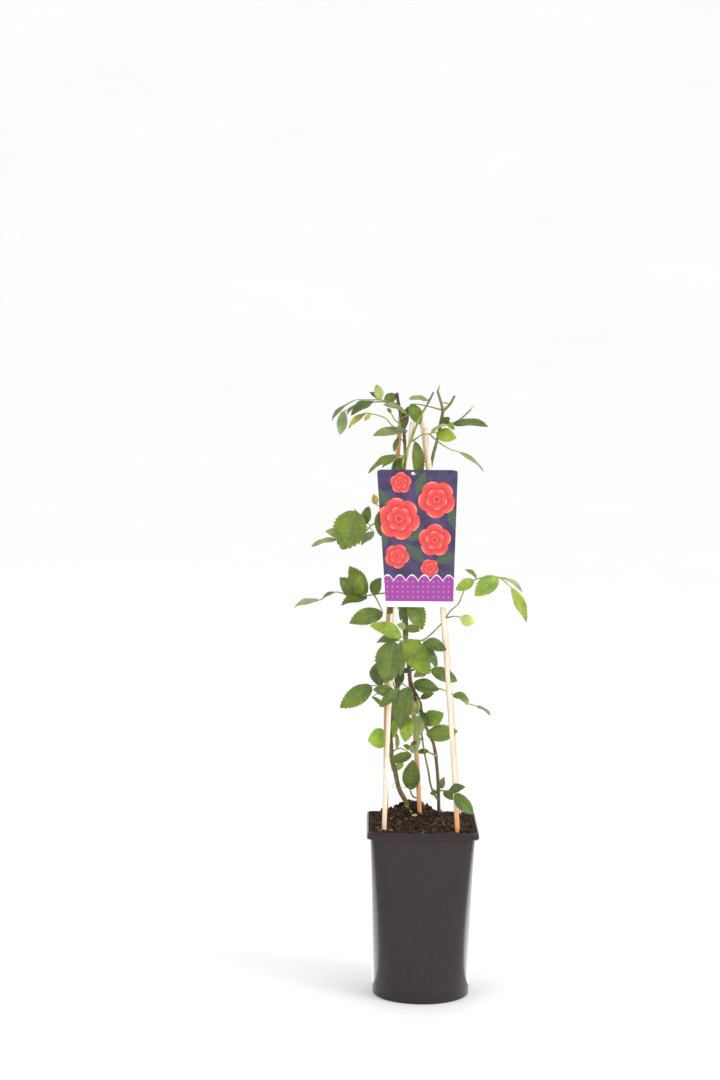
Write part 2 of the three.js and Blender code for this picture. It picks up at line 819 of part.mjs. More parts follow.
// Card: a sheet with round corners, wider at the top, with a hanging slot, leaning on the front canes
function makeCard() {
  const top = CARD_HEIGHT / 2;
  const corners = [
    [-CARD_BOTTOM_WIDTH / 2 + CARD_SHIFT / 2, -top],
    [CARD_BOTTOM_WIDTH / 2 + CARD_SHIFT / 2, -top],
    [CARD_TOP_WIDTH / 2 - CARD_SHIFT / 2, top],
    [-CARD_TOP_WIDTH / 2 - CARD_SHIFT / 2, top],
  ].map(([x, y]) => new THREE.Vector2(x, y));
  const shape = new THREE.Shape();
  corners.forEach((corner, i) => {
    const before = corners[(i + 3) % 4].clone().sub(corner).setLength(CARD_CORNER).add(corner);
    const after = corners[(i + 1) % 4].clone().sub(corner).setLength(CARD_CORNER).add(corner);
    if (i === 0) {
      shape.moveTo(before.x, before.y);
    } else {
      shape.lineTo(before.x, before.y);
    }
    shape.quadraticCurveTo(corner.x, corner.y, after.x, after.y);
  });
  shape.closePath();
  const slotEnd = SLOT.height / 2;
  const slotReach = SLOT.width / 2 - slotEnd;
  const slot = new THREE.Path();
  slot.absarc(SLOT.x + slotReach, top - SLOT.drop, slotEnd, -Math.PI / 2, Math.PI / 2, false);
  slot.absarc(SLOT.x - slotReach, top - SLOT.drop, slotEnd, Math.PI / 2, (3 * Math.PI) / 2, false);
  slot.closePath();
  shape.holes.push(slot);
  return new THREE.ExtrudeGeometry(shape, {
    depth: CARD_THICKNESS,
    bevelEnabled: false,
    curveSegments: CARD_CURVE_STEPS,
  });
}

// Share of the half width at a share of the blade's length: widest before the middle, drawn to a tip
function bladeOutline(s) {
  const fullness = THREE.MathUtils.lerp(BLADE_FULLNESS.base, BLADE_FULLNESS.tip, s);
  return Math.pow(Math.sin(Math.PI * Math.pow(s, WIDEST_SHIFT)), fullness);
}

// Upper face's direction: turned from the viewer towards the sky by the given angle, about the blade
function bladeNormal(base, tip, faceAngle) {
  const along = tip.clone().sub(base).normalize();
  const front = new THREE.Vector3(0, -1, 0);
  front.addScaledVector(along, -front.dot(along)).normalize();
  const sky = new THREE.Vector3().crossVectors(along, front);
  if (sky.z + 0.001 * sky.x < 0) {
    sky.negate();
  }
  const angle = THREE.MathUtils.degToRad(faceAngle);
  return front.multiplyScalar(Math.cos(angle)).addScaledVector(sky, Math.sin(angle)).normalize();
}

// A leaflet: a thin saw-edged blade, folded along its rib and arched from base to tip, with a narrow
// neck that runs back from its base to its root in the stalk
function makeBlade(root, base, tip, width, normal) {
  const length = base.distanceTo(tip);
  const whole = Math.round(length / TOOTH_PITCH);
  const teeth = THREE.MathUtils.clamp(whole, TOOTH_COUNT.fewest, TOOTH_COUNT.most);
  const along = tip.clone().sub(base).normalize();
  const side = new THREE.Vector3().crossVectors(normal, along).normalize();
  const spot = (s, reach) => {
    const half = Math.max((width / 2) * bladeOutline(s) * Math.abs(reach), NECK_HALF) * Math.sign(reach);
    const lift = BLADE_ARCH * length * 4 * s * (1 - s) + BLADE_FOLD * Math.abs(half);
    return base
      .clone()
      .addScaledVector(along, s * length)
      .addScaledVector(side, half)
      .addScaledVector(normal, lift);
  };
  const middle = [];
  const edges = [1, -1].map((sign) => [root.clone().addScaledVector(side, sign * NECK_HALF), spot(0, sign)]);
  for (let k = 0; k < teeth; k++) {
    middle.push(spot((k + 1) / teeth, 0));
    edges.forEach((edge, i) => {
      const sign = i === 0 ? 1 : -1;
      edge.push(spot((k + TOOTH_PLACE) / teeth, sign * TOOTH_REACH));
      edge.push(spot((k + 1) / teeth, sign * NOTCH_REACH));
    });
  }
  const sheet = [...middle, ...edges[0], ...edges[1]];
  const left = middle.length;
  const right = left + edges[0].length;
  const triangles = [];
  const cover = (a, b, c) => {
    triangles.push(a, b, c);
    triangles.push(a + sheet.length, c + sheet.length, b + sheet.length);
  };
  const rim = (a, b) => {
    triangles.push(a, a + sheet.length, b + sheet.length);
    triangles.push(a, b + sheet.length, b);
  };
  cover(left, right, right + 1);
  cover(left, right + 1, left + 1);
  cover(left + 1, right + 1, 0);
  for (let k = 0; k < teeth; k++) {
    const [near, far] = [Math.max(k - 1, 0), k];
    const [leftNear, rightNear] = [left + 1 + 2 * k, right + 1 + 2 * k];
    if (k > 0) {
      cover(near, far, leftNear + 1);
      cover(near, rightNear + 1, far);
    }
    cover(near, leftNear + 1, leftNear);
    cover(near, rightNear, rightNear + 1);
    cover(far, leftNear + 2, leftNear + 1);
    cover(far, rightNear + 1, rightNear + 2);
  }
  const last = 2 * teeth + 1;
  for (let k = 0; k < last; k++) {
    rim(left + k + 1, left + k);
    rim(right + k, right + k + 1);
  }
  rim(left, right);
  rim(teeth - 1, left + last);
  rim(right + last, teeth - 1);
  const half = BLADE_THICKNESS / 2;
  const upper = sheet.map((p) => p.clone().addScaledVector(normal, half));
  const lower = sheet.map((p) => p.clone().addScaledVector(normal, -half));
  return fromTriangles([...upper, ...lower], triangles);
}

// Where a leaflet's neck starts: just past the nearest place in the stalk, seen from the leaflet
function neckRoot(route, steps, base, tip) {
  const joints = new THREE.CatmullRomCurve3(route, false, 'centripetal').getSpacedPoints(steps);
  const runs = joints.slice(1).map((joint, i) => new THREE.Line3(joints[i], joint));
  const places = runs.map((run) => run.closestPointToPoint(base, true, new THREE.Vector3()));
  const nearest = places.reduce((best, p) => (p.distanceTo(base) < best.distanceTo(base) ? p : best));
  const inward = nearest.distanceTo(base) > ROOTING ? base : tip;
  return nearest.clone().add(nearest.clone().sub(inward).setLength(ROOTING));
}

// A leaf: its stalk with all its leaflets
function makeLeaf({ stalk, blades }) {
  const route = stalk.map(place);
  const steps = route.length;
  const solids = [toSolid(tube(route, STALK_RADIUS.root, STALK_RADIUS.end, STALK_SIDES, steps))];
  for (const [base, tip, width, faceAngle] of blades) {
    const from = place(base);
    const to = place(tip);
    const normal = bladeNormal(from, to, faceAngle);
    solids.push(toSolid(makeBlade(neckRoot(route, steps, from, to), from, to, width, normal)));
  }
  return solids;
}

// A frond at the back: an arching stalk with a leaflet on either side and one at its end, facing the sky
function makeFrond({ root: foot, heading, rise, length, leaflet }) {
  const start = place(foot);
  const turn = THREE.MathUtils.degToRad(heading);
  const climb = THREE.MathUtils.degToRad(rise);
  const ahead = new THREE.Vector3(
    Math.cos(turn) * Math.cos(climb),
    Math.sin(turn) * Math.cos(climb),
    Math.sin(climb),
  );
  const across = new THREE.Vector3(-Math.sin(turn), Math.cos(turn), 0);
  const up = new THREE.Vector3(0, 0, 1);
  const at = (share) => {
    const sag = FROND_DROOP * length * share * share;
    return start.clone().addScaledVector(ahead, length * share).addScaledVector(up, -sag);
  };
  const route = FROND_PLACES.map(at);
  const solids = [toSolid(tube(route, STALK_RADIUS.root, STALK_RADIUS.end, STALK_SIDES, FROND_STEPS))];
  const add = (from, direction) => {
    const to = from.clone().addScaledVector(direction, leaflet);
    const normal = up.clone().addScaledVector(direction, -up.dot(direction)).normalize();
    const root = neckRoot(route, FROND_STEPS, from, to);
    solids.push(toSolid(makeBlade(root, from, to, leaflet * FROND_WIDTH, normal)));
  };
  const dipping = ahead.clone().addScaledVector(up, -FROND_DIP).normalize();
  const forward = dipping.clone().multiplyScalar(FROND_FORWARD);
  add(at(1), dipping);
  add(at(FROND_SIDES.right), forward.clone().sub(across).normalize());
  add(at(FROND_SIDES.left), forward.clone().add(across).normalize());
  return solids;
}

// Thorns along a stem, each a small cone that leans down, turned by the golden angle from the last
function makeThorns(curve, radius, from, to, count) {
  const thorns = [];
  for (let k = 0; k < count; k++) {
    const share = THREE.MathUtils.lerp(from, to, k / count);
    const turn = k * GOLDEN_ANGLE;
    const outward = new THREE.Vector3(Math.cos(turn), Math.sin(turn), THORN.lean).normalize();
    const thorn = new THREE.ConeGeometry(THORN.radius, THORN.length + radius, THORN.sides);
    thorn.translate(0, (THORN.length + radius) / 2, 0);
    thorn.applyQuaternion(new THREE.Quaternion().setFromUnitVectors(new THREE.Vector3(0, 1, 0), outward));
    const root = curve.getPointAt(share);
    thorn.translate(root.x, root.y, root.z);
    thorns.push(toSolid(thorn));
  }
  return thorns;
}

// Route of a stem in space, with its buried end straight down
function stemRoute({ route, buried }) {
  const points = route.map(place);
  const below = (depth) => points[0].clone().add(new THREE.Vector3(0, 0, -depth));
  return [below(buried), below(STRAIGHT_FOOT), ...points];
}

// A leafy stem: main stem, side twigs, thorns, buds and leaves, all grown together
function makeLeafyStem({ stem, twigs, leaves, fronds, buds }) {
  const points = stemRoute(stem);
  const curve = new THREE.CatmullRomCurve3(points, false, 'centripetal');
  const solids = [toSolid(tube(points, stem.radius[0], stem.radius[1], STEM_SIDES, stem.steps))];
  solids.push(...makeThorns(curve, stem.radius[1], stem.thorny[0], stem.thorny[1], stem.thorns));
  for (const { route, radius } of twigs) {
    solids.push(toSolid(tube(route.map(place), radius[0], radius[1], TWIG_SIDES, 2 * route.length)));
  }
  for (const leaf of Object.values(leaves)) {
    solids.push(...makeLeaf(leaf));
  }
  for (const frond of fronds) {
    solids.push(...makeFrond(frond));
  }
  for (const [base, tip, width] of buds) {
    const from = place(base);
    const to = place(tip);
    const middle = from.clone().lerp(to, 0.5);
    solids.push(toSolid(tube([from, middle, to], width, BUD.tip, BUD.sides, BUD.steps)));
  }
  return grow(solids);
}

// The hole that a stem stands in
function stemHole(stem) {
  const foot = place(stem.route[0]);
  const radius = stem.radius[0] + CLEARANCE;
  const low = new THREE.Vector3(foot.x, foot.y, foot.z - stem.buried - CLEARANCE);
  const high = new THREE.Vector3(foot.x, foot.y, foot.z + STRAIGHT_FOOT);
  return tube([low, high], radius, radius + HOLE_FLARE, HOLE_SIDES, 1);
}

// Materials
const charcoalPlastic = new THREE.MeshStandardMaterial({ color: 0x464040, roughness: 0.6, metalness: 0 });
const darkSoil = new THREE.MeshStandardMaterial({ color: 0x2d1e16, roughness: 1, metalness: 0 });
const paleCane = new THREE.MeshStandardMaterial({ color: 0xeed2b4, roughness: 0.7, metalness: 0 });
const printedCard = new THREE.MeshStandardMaterial({ color: 0xe0645a, roughness: 0.35, metalness: 0 });
const roseGreen = new THREE.MeshStandardMaterial({ color: 0x6f8436, roughness: 0.6, metalness: 0 });

const rose = new THREE.Group();

// Adds a named piece to the group
function addPiece(name, geometry, material) {
  const piece = new THREE.Mesh(geometry, material);
  piece.name = name;
  rose.add(piece);
  return piece;
}

addPiece('pot', makePot(), charcoalPlastic);
const caneHoles = Object.values(CANES).map((cane) => makeCane(cane, CLEARANCE));
const stemHoles = [RIGHT_STEM, LEFT_STEM, BASAL_SHOOT].map(stemHole);
addPiece('soil', makeSoil([...caneHoles, ...stemHoles]), darkSoil);
for (const [name, cane] of Object.entries(CANES)) {
  addPiece(name, makeCane(cane, 0), paleCane);
}

const cardLean = Math.atan(CANE_SLOPE);
const card = addPiece('label_card', makeCard(), printedCard);
const [, caneFootY, caneFootZ] = CANES.cane_front_left.foot;
const caneFront = caneFootY + (CARD_MIDDLE.z - caneFootZ) * CANE_SLOPE;
card.rotation.x = Math.PI / 2 - cardLean;
card.position.set(CARD_MIDDLE.x, caneFront - (CANE_RADIUS + CLEARANCE) / Math.cos(cardLean), CARD_MIDDLE.z);

addPiece(
  'rose_stem_right',
  makeLeafyStem({
    stem: RIGHT_STEM,
    twigs: RIGHT_TWIGS,
    leaves: RIGHT_LEAVES,
    fronds: RIGHT_FRONDS,
    buds: [],
  }),
  roseGreen,
);
addPiece(
  'rose_stem_left',
  makeLeafyStem({
    stem: LEFT_STEM,
    twigs: LEFT_TWIGS,
    leaves: LEFT_LEAVES,
    fronds: LEFT_FRONDS,
    buds: LEFT_BUDS,
  }),
  roseGreen,
);
addPiece(
  'basal_shoot',
  makeLeafyStem({ stem: BASAL_SHOOT, twigs: [], leaves: BASAL_LEAVES, fronds: [], buds: [] }),
  roseGreen,
);

export default rose;
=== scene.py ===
"""A climbing rose in a nursery pot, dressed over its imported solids.

Shapes are worked out in millimetres with numpy and put into their meshes in metres, +Z up, with the
front of the picture card towards -Y. The rose is laid out as it is seen from in front, see place().
"""

from __future__ import annotations

import logging
import math
from dataclasses import dataclass, field
from enum import Enum

import bpy
import numpy as np
from mathutils import Matrix

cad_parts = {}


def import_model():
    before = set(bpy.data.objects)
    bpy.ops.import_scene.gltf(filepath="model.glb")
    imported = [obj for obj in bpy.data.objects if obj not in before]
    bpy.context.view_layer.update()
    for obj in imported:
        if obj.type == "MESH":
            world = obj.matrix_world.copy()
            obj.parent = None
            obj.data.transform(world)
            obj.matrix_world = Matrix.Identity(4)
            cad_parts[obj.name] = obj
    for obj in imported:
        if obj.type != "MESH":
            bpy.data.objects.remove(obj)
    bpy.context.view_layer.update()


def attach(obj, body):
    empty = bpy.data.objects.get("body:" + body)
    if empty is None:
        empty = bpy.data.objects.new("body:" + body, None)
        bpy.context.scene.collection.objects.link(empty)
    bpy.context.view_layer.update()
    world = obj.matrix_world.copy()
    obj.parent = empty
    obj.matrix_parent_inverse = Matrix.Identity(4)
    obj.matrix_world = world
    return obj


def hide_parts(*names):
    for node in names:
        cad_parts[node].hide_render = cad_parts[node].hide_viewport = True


LOG = logging.getLogger("potted_rose")
MM = 0.001
FULL_TURN = 2 * math.pi
WHITE = (1.0, 1.0, 1.0)
X_AXIS, Y_AXIS, Z_AXIS = np.eye(3)
Array = np.ndarray
Colour = tuple[float, float, float]
Point = tuple[float, float, float]


def paint(red: int, green: int, blue: int) -> Colour:
    """Turns a screen colour of 0 to 255 into the linear light that shaders take.

    Args:
        red: Screen value of red.
        green: Screen value of green.
        blue: Screen value of blue.

    Returns:
        The linear colour.
    """
    screen = np.array([red, green, blue]) / 255.0
    linear = np.where(screen <= 0.04045, screen / 12.92, ((screen + 0.055) / 1.055) ** 2.4)
    return tuple(float(v) for v in linear)


class Tone(Enum):
    """Colours of a blade: the face turned to the front, and the face behind it."""

    MATURE = (paint(103, 121, 38), paint(140, 150, 98))
    # DARK: deep green whose front colour also paints the shade on leaves that sit in shadow among the others.
    DARK = (paint(80, 100, 40), paint(130, 142, 94))
    LIGHT = (paint(116, 138, 36), paint(150, 166, 100))
    # LIME: bright green whose brightness is painted light shining through backlit leaves.
    LIME = (paint(136, 160, 50), paint(162, 180, 96))
    PALE = (paint(156, 164, 116), paint(106, 124, 44))
    # GREY: the paler underside turned to the front, lightened further as painted glare on the waxy surface.
    GREY = (paint(130, 142, 98), paint(94, 112, 48))
    YOUNG = (paint(184, 178, 84), paint(190, 160, 96))
    PALE_LIME = (paint(184, 202, 108), paint(178, 196, 110))


MATURE, DARK, LIGHT, LIME, PALE, GREY, YOUNG, PALE_LIME = Tone
BladeRow = tuple[float, float, float, float, float, float, float, float, Tone]
LeafTable = dict[str, tuple[list[Point], list[BladeRow]]]


@dataclass(frozen=True)
class Twig:
    """A stem, twig or shoot: its route, its radius at both ends, and its bark from foot to top."""

    name: str
    route: list[Point]
    radius: tuple[float, float]
    bark: list[Colour]
    buried: float = 0.0
    thorns: int = 0


@dataclass(frozen=True)
class Frond:
    """A leaf that reaches back: where it leaves the stem, its heading and rise in degrees, and sizes."""

    root: Point
    heading: float
    rise: float
    length: float
    leaflet: float


BRIGHT_BARK = paint(128, 158, 56)
GREEN_BARK = paint(106, 118, 58)
OLIVE_BARK = paint(122, 108, 62)
BROWN_BARK = paint(112, 88, 58)
RED_BARK = paint(84, 48, 36)
DEAD_BARK = paint(44, 38, 28)
PALE_BUD = paint(180, 205, 110)
STALK_GREEN = paint(140, 160, 78)
STALK_FOOT = paint(128, 132, 66)

# A leaf by name: the points of its stalk from the stem outwards, as (x, depth, height) in millimetres, and
# its blades. A blade is where it begins, its tip, its greatest width, the degrees that its front face is
# turned from the viewer towards the sky, and its tone.
RIGHT_LEAVES: LeafTable = {
    "top_left_upper": ([(-35, -4, 737), (-44, -8, 740), (-57, -10, 742), (-68, -12, 742), (-86, -14, 742)], [
        (-86, -14, 742, -117, -18, 718, 14, 78, MATURE), (-65, -12, 740, -92, -30, 724, 16, 55, DARK),
        (-57, -10, 742, -61, -6, 761, 12, 15, PALE), (-59, -10, 743, -70, -2, 752, 11, 55, DARK),
        (-51, -9, 741, -36, -2, 748, 13, 30, DARK),
    ]),
    "top_left_lower": ([(-33, -4, 732), (-47, 4, 739), (-68, 6, 739), (-86, 5, 736), (-101, 3, 727)], [
        (-101, 3, 728, -106, 0, 699, 13, 15, PALE), (-84, 5, 736, -97, -6, 724, 10, 75, MATURE),
    ]),
    "top_grey": ([(-31, -4, 720), (-27, -11, 721), (-22, -16, 724)], [
        (-23, -16, 724, -52, -24, 737, 14, 70, GREY),
    ]),
    "top_dark_up": ([(-28, -3, 705), (-27, -6, 706)], [(-27, -6, 706, -20, 1, 736, 11, 25, DARK)]),
    "top_buds": ([(-29, -4, 713), (-38, -12, 717), (-43, -14, 726)], [
        (-43, -14, 726, -48, -14, 732, 5, 20, LIME),
    ]),
    "top_young": ([(-28, -4, 705), (-41, -14, 710), (-49, -18, 719), (-59, -20, 723), (-73, -20, 726)], [
        (-73, -20, 726, -96, -22, 707, 9, 50, YOUNG), (-68, -20, 725, -76, -20, 716, 5.5, 10, YOUNG),
    ]),
    "top_wide": ([(-27, -3, 699), (-23, -8, 704)], [(-24, -8, 705, -65, -12, 700, 16, 45, GREY)]),
    "top_hanging": ([(-27, -3, 692), (-33, -5, 695)], [(-34, -6, 696, -39, -8, 678, 6, 20, MATURE)]),
    "top_saw_edged": ([(-25, -5, 672), (-37, -8, 675)], [
        (-37, -8, 675, -71, -14, 653, 15, 60, MATURE), (-36, -8, 673, -54, -12, 659, 9, 40, PALE),
    ]),
    "top_dark": ([(-25, -5, 668), (-28, -8, 670)], [
        (-27, -7, 671, -41, 0, 650, 13, 20, DARK), (-28, -8, 667, -34, -16, 641, 10, 20, DARK),
    ]),
    "shoot_leaf": ([(-19, -21, 691), (-15, -18, 692), (-13, -9, 691)], [
        (-13, -8, 691, -8, -9, 643, 15, 10, MATURE),
    ]),
    "shoot_grey": ([(5, -7, 742), (2, -8, 743)], [(2, -8, 742, -21, -16, 744, 12, 62, GREY)]),
    "shoot_lime": ([(-18, -21, 692), (-13, -22, 694), (-6, -23, 699), (5, -24, 701), (13, -24, 703)], [
        (6, -24, 702, 26, -30, 713, 12, 68, PALE), (13, -24, 702, 37, -34, 696, 17, 15, LIME),
    ]),
    "shoot_long": ([(4, -24, 701), (14, -22, 692), (30, -20, 682), (40, -20, 679)], [
        (40, -20, 679, 72, -24, 656, 10, 74, GREY),
    ]),
    "bright_pair": ([(-23, -14, 450), (-26, -28, 449), (-28, -40, 449)], [
        (-28, -40, 449, -66, -50, 463, 18, 15, LIGHT), (-29, -39, 447, -59, -32, 442, 12, 40, MATURE),
    ]),
    "great": ([(-23, -14, 441), (-29, -30, 444), (-37, -42, 443)], [
        (-37, -42, 443, -46, -54, 391, 35, 5, DARK), (-28, -30, 443, -29, -20, 400, 14, 25, GREY),
    ]),
    "great_light": ([(-22, -14, 445), (-23, -26, 445)], [(-23, -26, 445, 7, -38, 403, 30, 8, LIGHT)]),
    "middle_dark": ([(-22, -14, 444), (-10, -26, 445), (2, -36, 444)], [
        (2, -36, 444, 28, -46, 433, 15, 20, DARK), (0, -35, 443, 17, -46, 410, 13, 30, DARK),
    ]),
    "small_pair": ([(-24, -14, 460), (-22, -20, 461)], [
        (-22, -20, 461, -33, -26, 464, 9, 20, GREY), (-22, -20, 461, -5, -26, 457, 11, 20, MATURE),
    ]),
    "under_card": ([(-26, -13, 497), (-19, -17, 496)], [
        (-19, -17, 496, -2, -21, 458, 22, 10, MATURE), (-24, -15, 497, -29, -20, 469, 8, 20, DARK),
        (-27, -12, 497, -46, -6, 477, 12, 20, DARK),
    ]),
    "right_spray": ([
        (-21, -14, 436), (-11, -16, 443), (-1, -16, 445), (21, -12, 465), (33, -14, 482), (42, -16, 490),
        (46, -18, 499), (49, -19, 507), (55, -20, 515), (63, -21, 521), (76, -22, 524), (91, -24, 524),
        (108, -28, 511),
    ], [
        (61, -21, 520, 39, -27, 508, 14, 10, LIME), (91, -24, 523, 63, -34, 501, 22, 10, LIME),
        (64, -20, 523, 50, -12, 534, 10, 65, LIGHT), (92, -24, 524, 122, -16, 507, 13, 72, PALE),
        (108, -28, 511, 128, -32, 469, 14, 30, LIME),
    ]),
    "spray_round": ([(28, -13, 473), (38, -14, 475), (45, -15, 474)], [
        (45, -15, 473, 63, -18, 468, 14, 10, PALE_LIME),
    ]),
    "right_dark": ([(-15, -10, 389), (-12, -16, 391)], [(-12, -16, 391, 19, -28, 383, 18, 20, DARK)]),
    "middle_grey": ([(-17, -12, 406), (-9, -18, 408), (1, -22, 408)], [
        (4, -24, 408, -12, -30, 399, 13, 35, GREY), (-18, -16, 409, -25, -21, 404, 7, 30, DARK),
    ]),
    "right_behind": ([(-17, -12, 407), (-4, -14, 410), (9, -14, 408)], [
        (9, -14, 408, 42, -12, 394, 17, 15, MATURE),
    ]),
    "right_small": ([(-6, -6, 370), (-3, -9, 373)], [(-3, -8, 372, 13, -14, 379, 9, 30, MATURE)]),
    "right_long": ([
        (-12, -9, 384), (2, -16, 386), (18, -18, 385), (37, -16, 377), (56, -18, 366), (66, -20, 363),
    ], [
        (37, -16, 377, 57, -24, 369, 14, 55, MATURE), (42, -16, 375, 57, 2, 365, 10, 60, GREY),
        (66, -20, 363, 84, -24, 352, 10, 74, GREY),
    ]),
    "centre_dark": ([(-7, -7, 374), (-7, -14, 372)], [(-7, -14, 372, -2, -17, 357, 7, 20, DARK)]),
    "centre_pale": ([(-9, -8, 376), (-8, -16, 371)], [(-6, -16, 370, -11, -20, 350, 10, 25, PALE)]),
    "centre_hanging": ([(-3, -4, 362), (-6, -14, 355), (-6, -17, 350)], [
        (-7, -17, 350, -7, -21, 323, 17, 15, GREY),
    ]),
    "right_round": ([(-2, -3, 355), (3, -12, 345)], [
        (3, -12, 344, 25, -20, 353, 21, 5, LIGHT), (-3, -10, 354, 11, -13, 337, 13, 25, DARK),
    ]),
    "right_low": ([(2, 1, 341), (5, -6, 332), (5, -10, 326)], [(5, -11, 326, 43, -14, 331, 21, 10, MATURE)]),
    "fork_leaves": ([(17, 13, 300), (10, 11, 303), (7, 10, 306)], [
        (7, 9, 306, -7, 5, 304, 7.5, 35, DARK), (18, 8, 299, 4, 4, 305, 4, 55, GREY),
    ]),
    "grey_cluster": ([(-1, 1, 322), (-5, -5, 317), (-6, -9, 310), (-11, -12, 306), (-16, -14, 308)], [
        (-8, -11, 305, -18, -15, 311, 10, 25, GREY), (-6, -9, 311, -7, -13, 327, 6, 30, GREY),
        (-9, -9, 318, -15, -13, 311, 5, 30, DARK), (-16, -14, 308, -24, -17, 313, 6.5, 25, DARK),
    ]),
    "thin_shoot_leaf": ([(15, 20, 253), (17, 16, 255)], [(18, 16, 255, 10, 12, 252, 7.5, 20, DARK)]),
    "low_right": ([(20, 22, 256), (25, 5, 256), (30, -28, 256), (33, -52, 255), (41, -56, 252)], [
        (33, -52, 255, 53, -59, 261, 12, 45, DARK), (28, -18, 256, 38, -32, 245, 12, 30, DARK),
        (41, -56, 252, 64, -64, 227, 17, 15, DARK),
    ]),
    "low_light": ([(20, 22, 256), (22, 17, 259)], [(23, 17, 259, 27, 12, 273, 9, 30, GREY)]),
}
LEFT_LEAVES: LeafTable = {
    "round": ([
        (-11, -3, 573), (-26, 2, 581), (-41, 2, 585), (-54, 0, 592), (-65, -2, 588), (-75, -4, 578),
        (-92, -6, 571), (-108, -8, 569),
    ], [
        (-85, -8, 605, -102, -14, 557, 41, 5, MATURE), (-74, -4, 588, -70, 0, 611, 13, 20, DARK),
        (-96, -2, 571, -123, 4, 580, 14, 30, PALE), (-108, -8, 569, -140, -14, 562, 12, 68, GREY),
        (-63, -3, 579, -79, -8, 563, 11, 30, PALE),
    ]),
    "small_round": ([(-7, -3, 598), (-26, 2, 605), (-43, -2, 609), (-56, -6, 611), (-60, -6, 613)], [
        (-60, -6, 613, -64, -8, 626, 8.5, 10, YOUNG),
    ]),
    "beside_card": ([(-10, -3, 582), (-31, 0, 595), (-46, -8, 604), (-51, -13, 606)], [
        (-51, -14, 608, -55, -16, 574, 20, 10, DARK),
    ]),
    "left": ([
        (-21, -4, 495), (-30, 1, 500), (-40, 0, 502), (-51, -4, 503), (-70, -8, 500), (-86, -10, 499),
        (-99, -12, 502), (-110, -14, 504), (-129, -14, 494),
    ], [
        (-72, -8, 501, -92, 4, 537, 22, 10, MATURE), (-84, -12, 501, -79, -20, 524, 17, 20, MATURE),
        (-87, -11, 500, -104, -24, 522, 20, 20, DARK), (-63, -8, 501, -54, -14, 522, 15, 20, DARK),
        (-71, -9, 498, -102, -28, 489, 17, 55, DARK), (-110, -14, 504, -128, -16, 494, 12, 78, MATURE),
        (-130, -14, 494, -161, -20, 485, 13, 60, PALE),
    ]),
    "dome": ([(-62, -7, 501), (-56, -10, 490), (-51, -12, 479)], [
        (-51, -12, 478, -92, -22, 466, 21, 10, MATURE),
    ]),
    "inner_dark": ([(-26, -6, 405), (-27, -8, 409)], [(-27, -8, 408, -33, -9, 385, 12, 15, DARK)]),
    "low_lime": ([(-35, -7, 285), (-29, -7, 290), (-25, -6, 292)], [(-25, -6, 292, -31, -8, 281, 9, 20, LIME)]),
    "tucked": ([(-33, -10, 379), (-40, -16, 397), (-48, -20, 412), (-53, -22, 418)], [
        (-53, -22, 418, -54, -26, 386, 23, 10, DARK),
    ]),
    "far_left": ([(-36, -11, 370), (-49, -20, 385), (-64, -28, 388)], [
        (-64, -28, 387, -103, -36, 360, 23, 10, MATURE),
    ]),
    "near_front": ([(-32, -9, 382), (-29, -30, 385), (-33, -46, 384)], [
        (-33, -47, 383, -54, -54, 361, 13, 10, DARK), (-36, -44, 380, -62, -47, 383, 14, 10, DARK),
    ]),
    "bright_sliver": ([(-39, -13, 350), (-44, -22, 357), (-49, -27, 361)], [
        (-49, -27, 361, -64, -26, 374, 6, 30, LIME),
    ]),
    "centre_great": ([(-30, -8, 392), (-24, -22, 389), (-19, -28, 386)], [
        (-19, -28, 386, -28, -40, 333, 25, 8, DARK),
    ]),
    "centre_lower": ([(-39, -13, 355), (-29, -20, 358), (-19, -30, 350)], [
        (-19, -30, 350, -22, -34, 317, 18, 10, LIME),
    ]),
    "centre_light": ([(-39, -13, 352), (-32, -18, 350)], [(-32, -18, 350, -36, -21, 322, 9, 30, LIME)]),
    "left_round": ([(-40, -12, 313), (-42, -24, 322), (-43, -30, 324)], [
        (-43, -31, 324, -68, -36, 318, 25, 5, LIME),
    ]),
    "low_level": ([(-39, -10, 304), (-28, -18, 309), (-14, -22, 302)], [
        (-14, -22, 301, -41, -26, 292, 14, 30, DARK),
    ]),
    "low_narrow": ([(-40, -12, 326), (-33, -18, 329)], [(-33, -18, 328, -32, -21, 308, 6.5, 35, MATURE)]),
    "top_right_hanging": ([(20, 0, 730), (5, -2, 734), (-10, -4, 737), (-19, -6, 737)], [
        (-19, -6, 737, -7, -8, 712, 16, 10, MATURE),
    ]),
    "top_right_great": ([(19, 0, 717), (26, -8, 716), (34, -12, 713)], [
        (34, -12, 713, 76, -20, 712, 16, 50, DARK), (26, -9, 715, 35, -13, 706, 7, 10, LIME),
    ]),
    "top_right_dark": ([(18, 0, 712), (20, -5, 712)], [(20, -5, 712, 29, -10, 721, 11, 20, DARK)]),
}
BASAL_LEAVES: LeafTable = {
    "upright": ([(-11, 5, 248), (-14, -3, 252), (-15, -9, 257)], [(-15, -9, 257, -12, -14, 294, 22, 8, DARK)]),
}
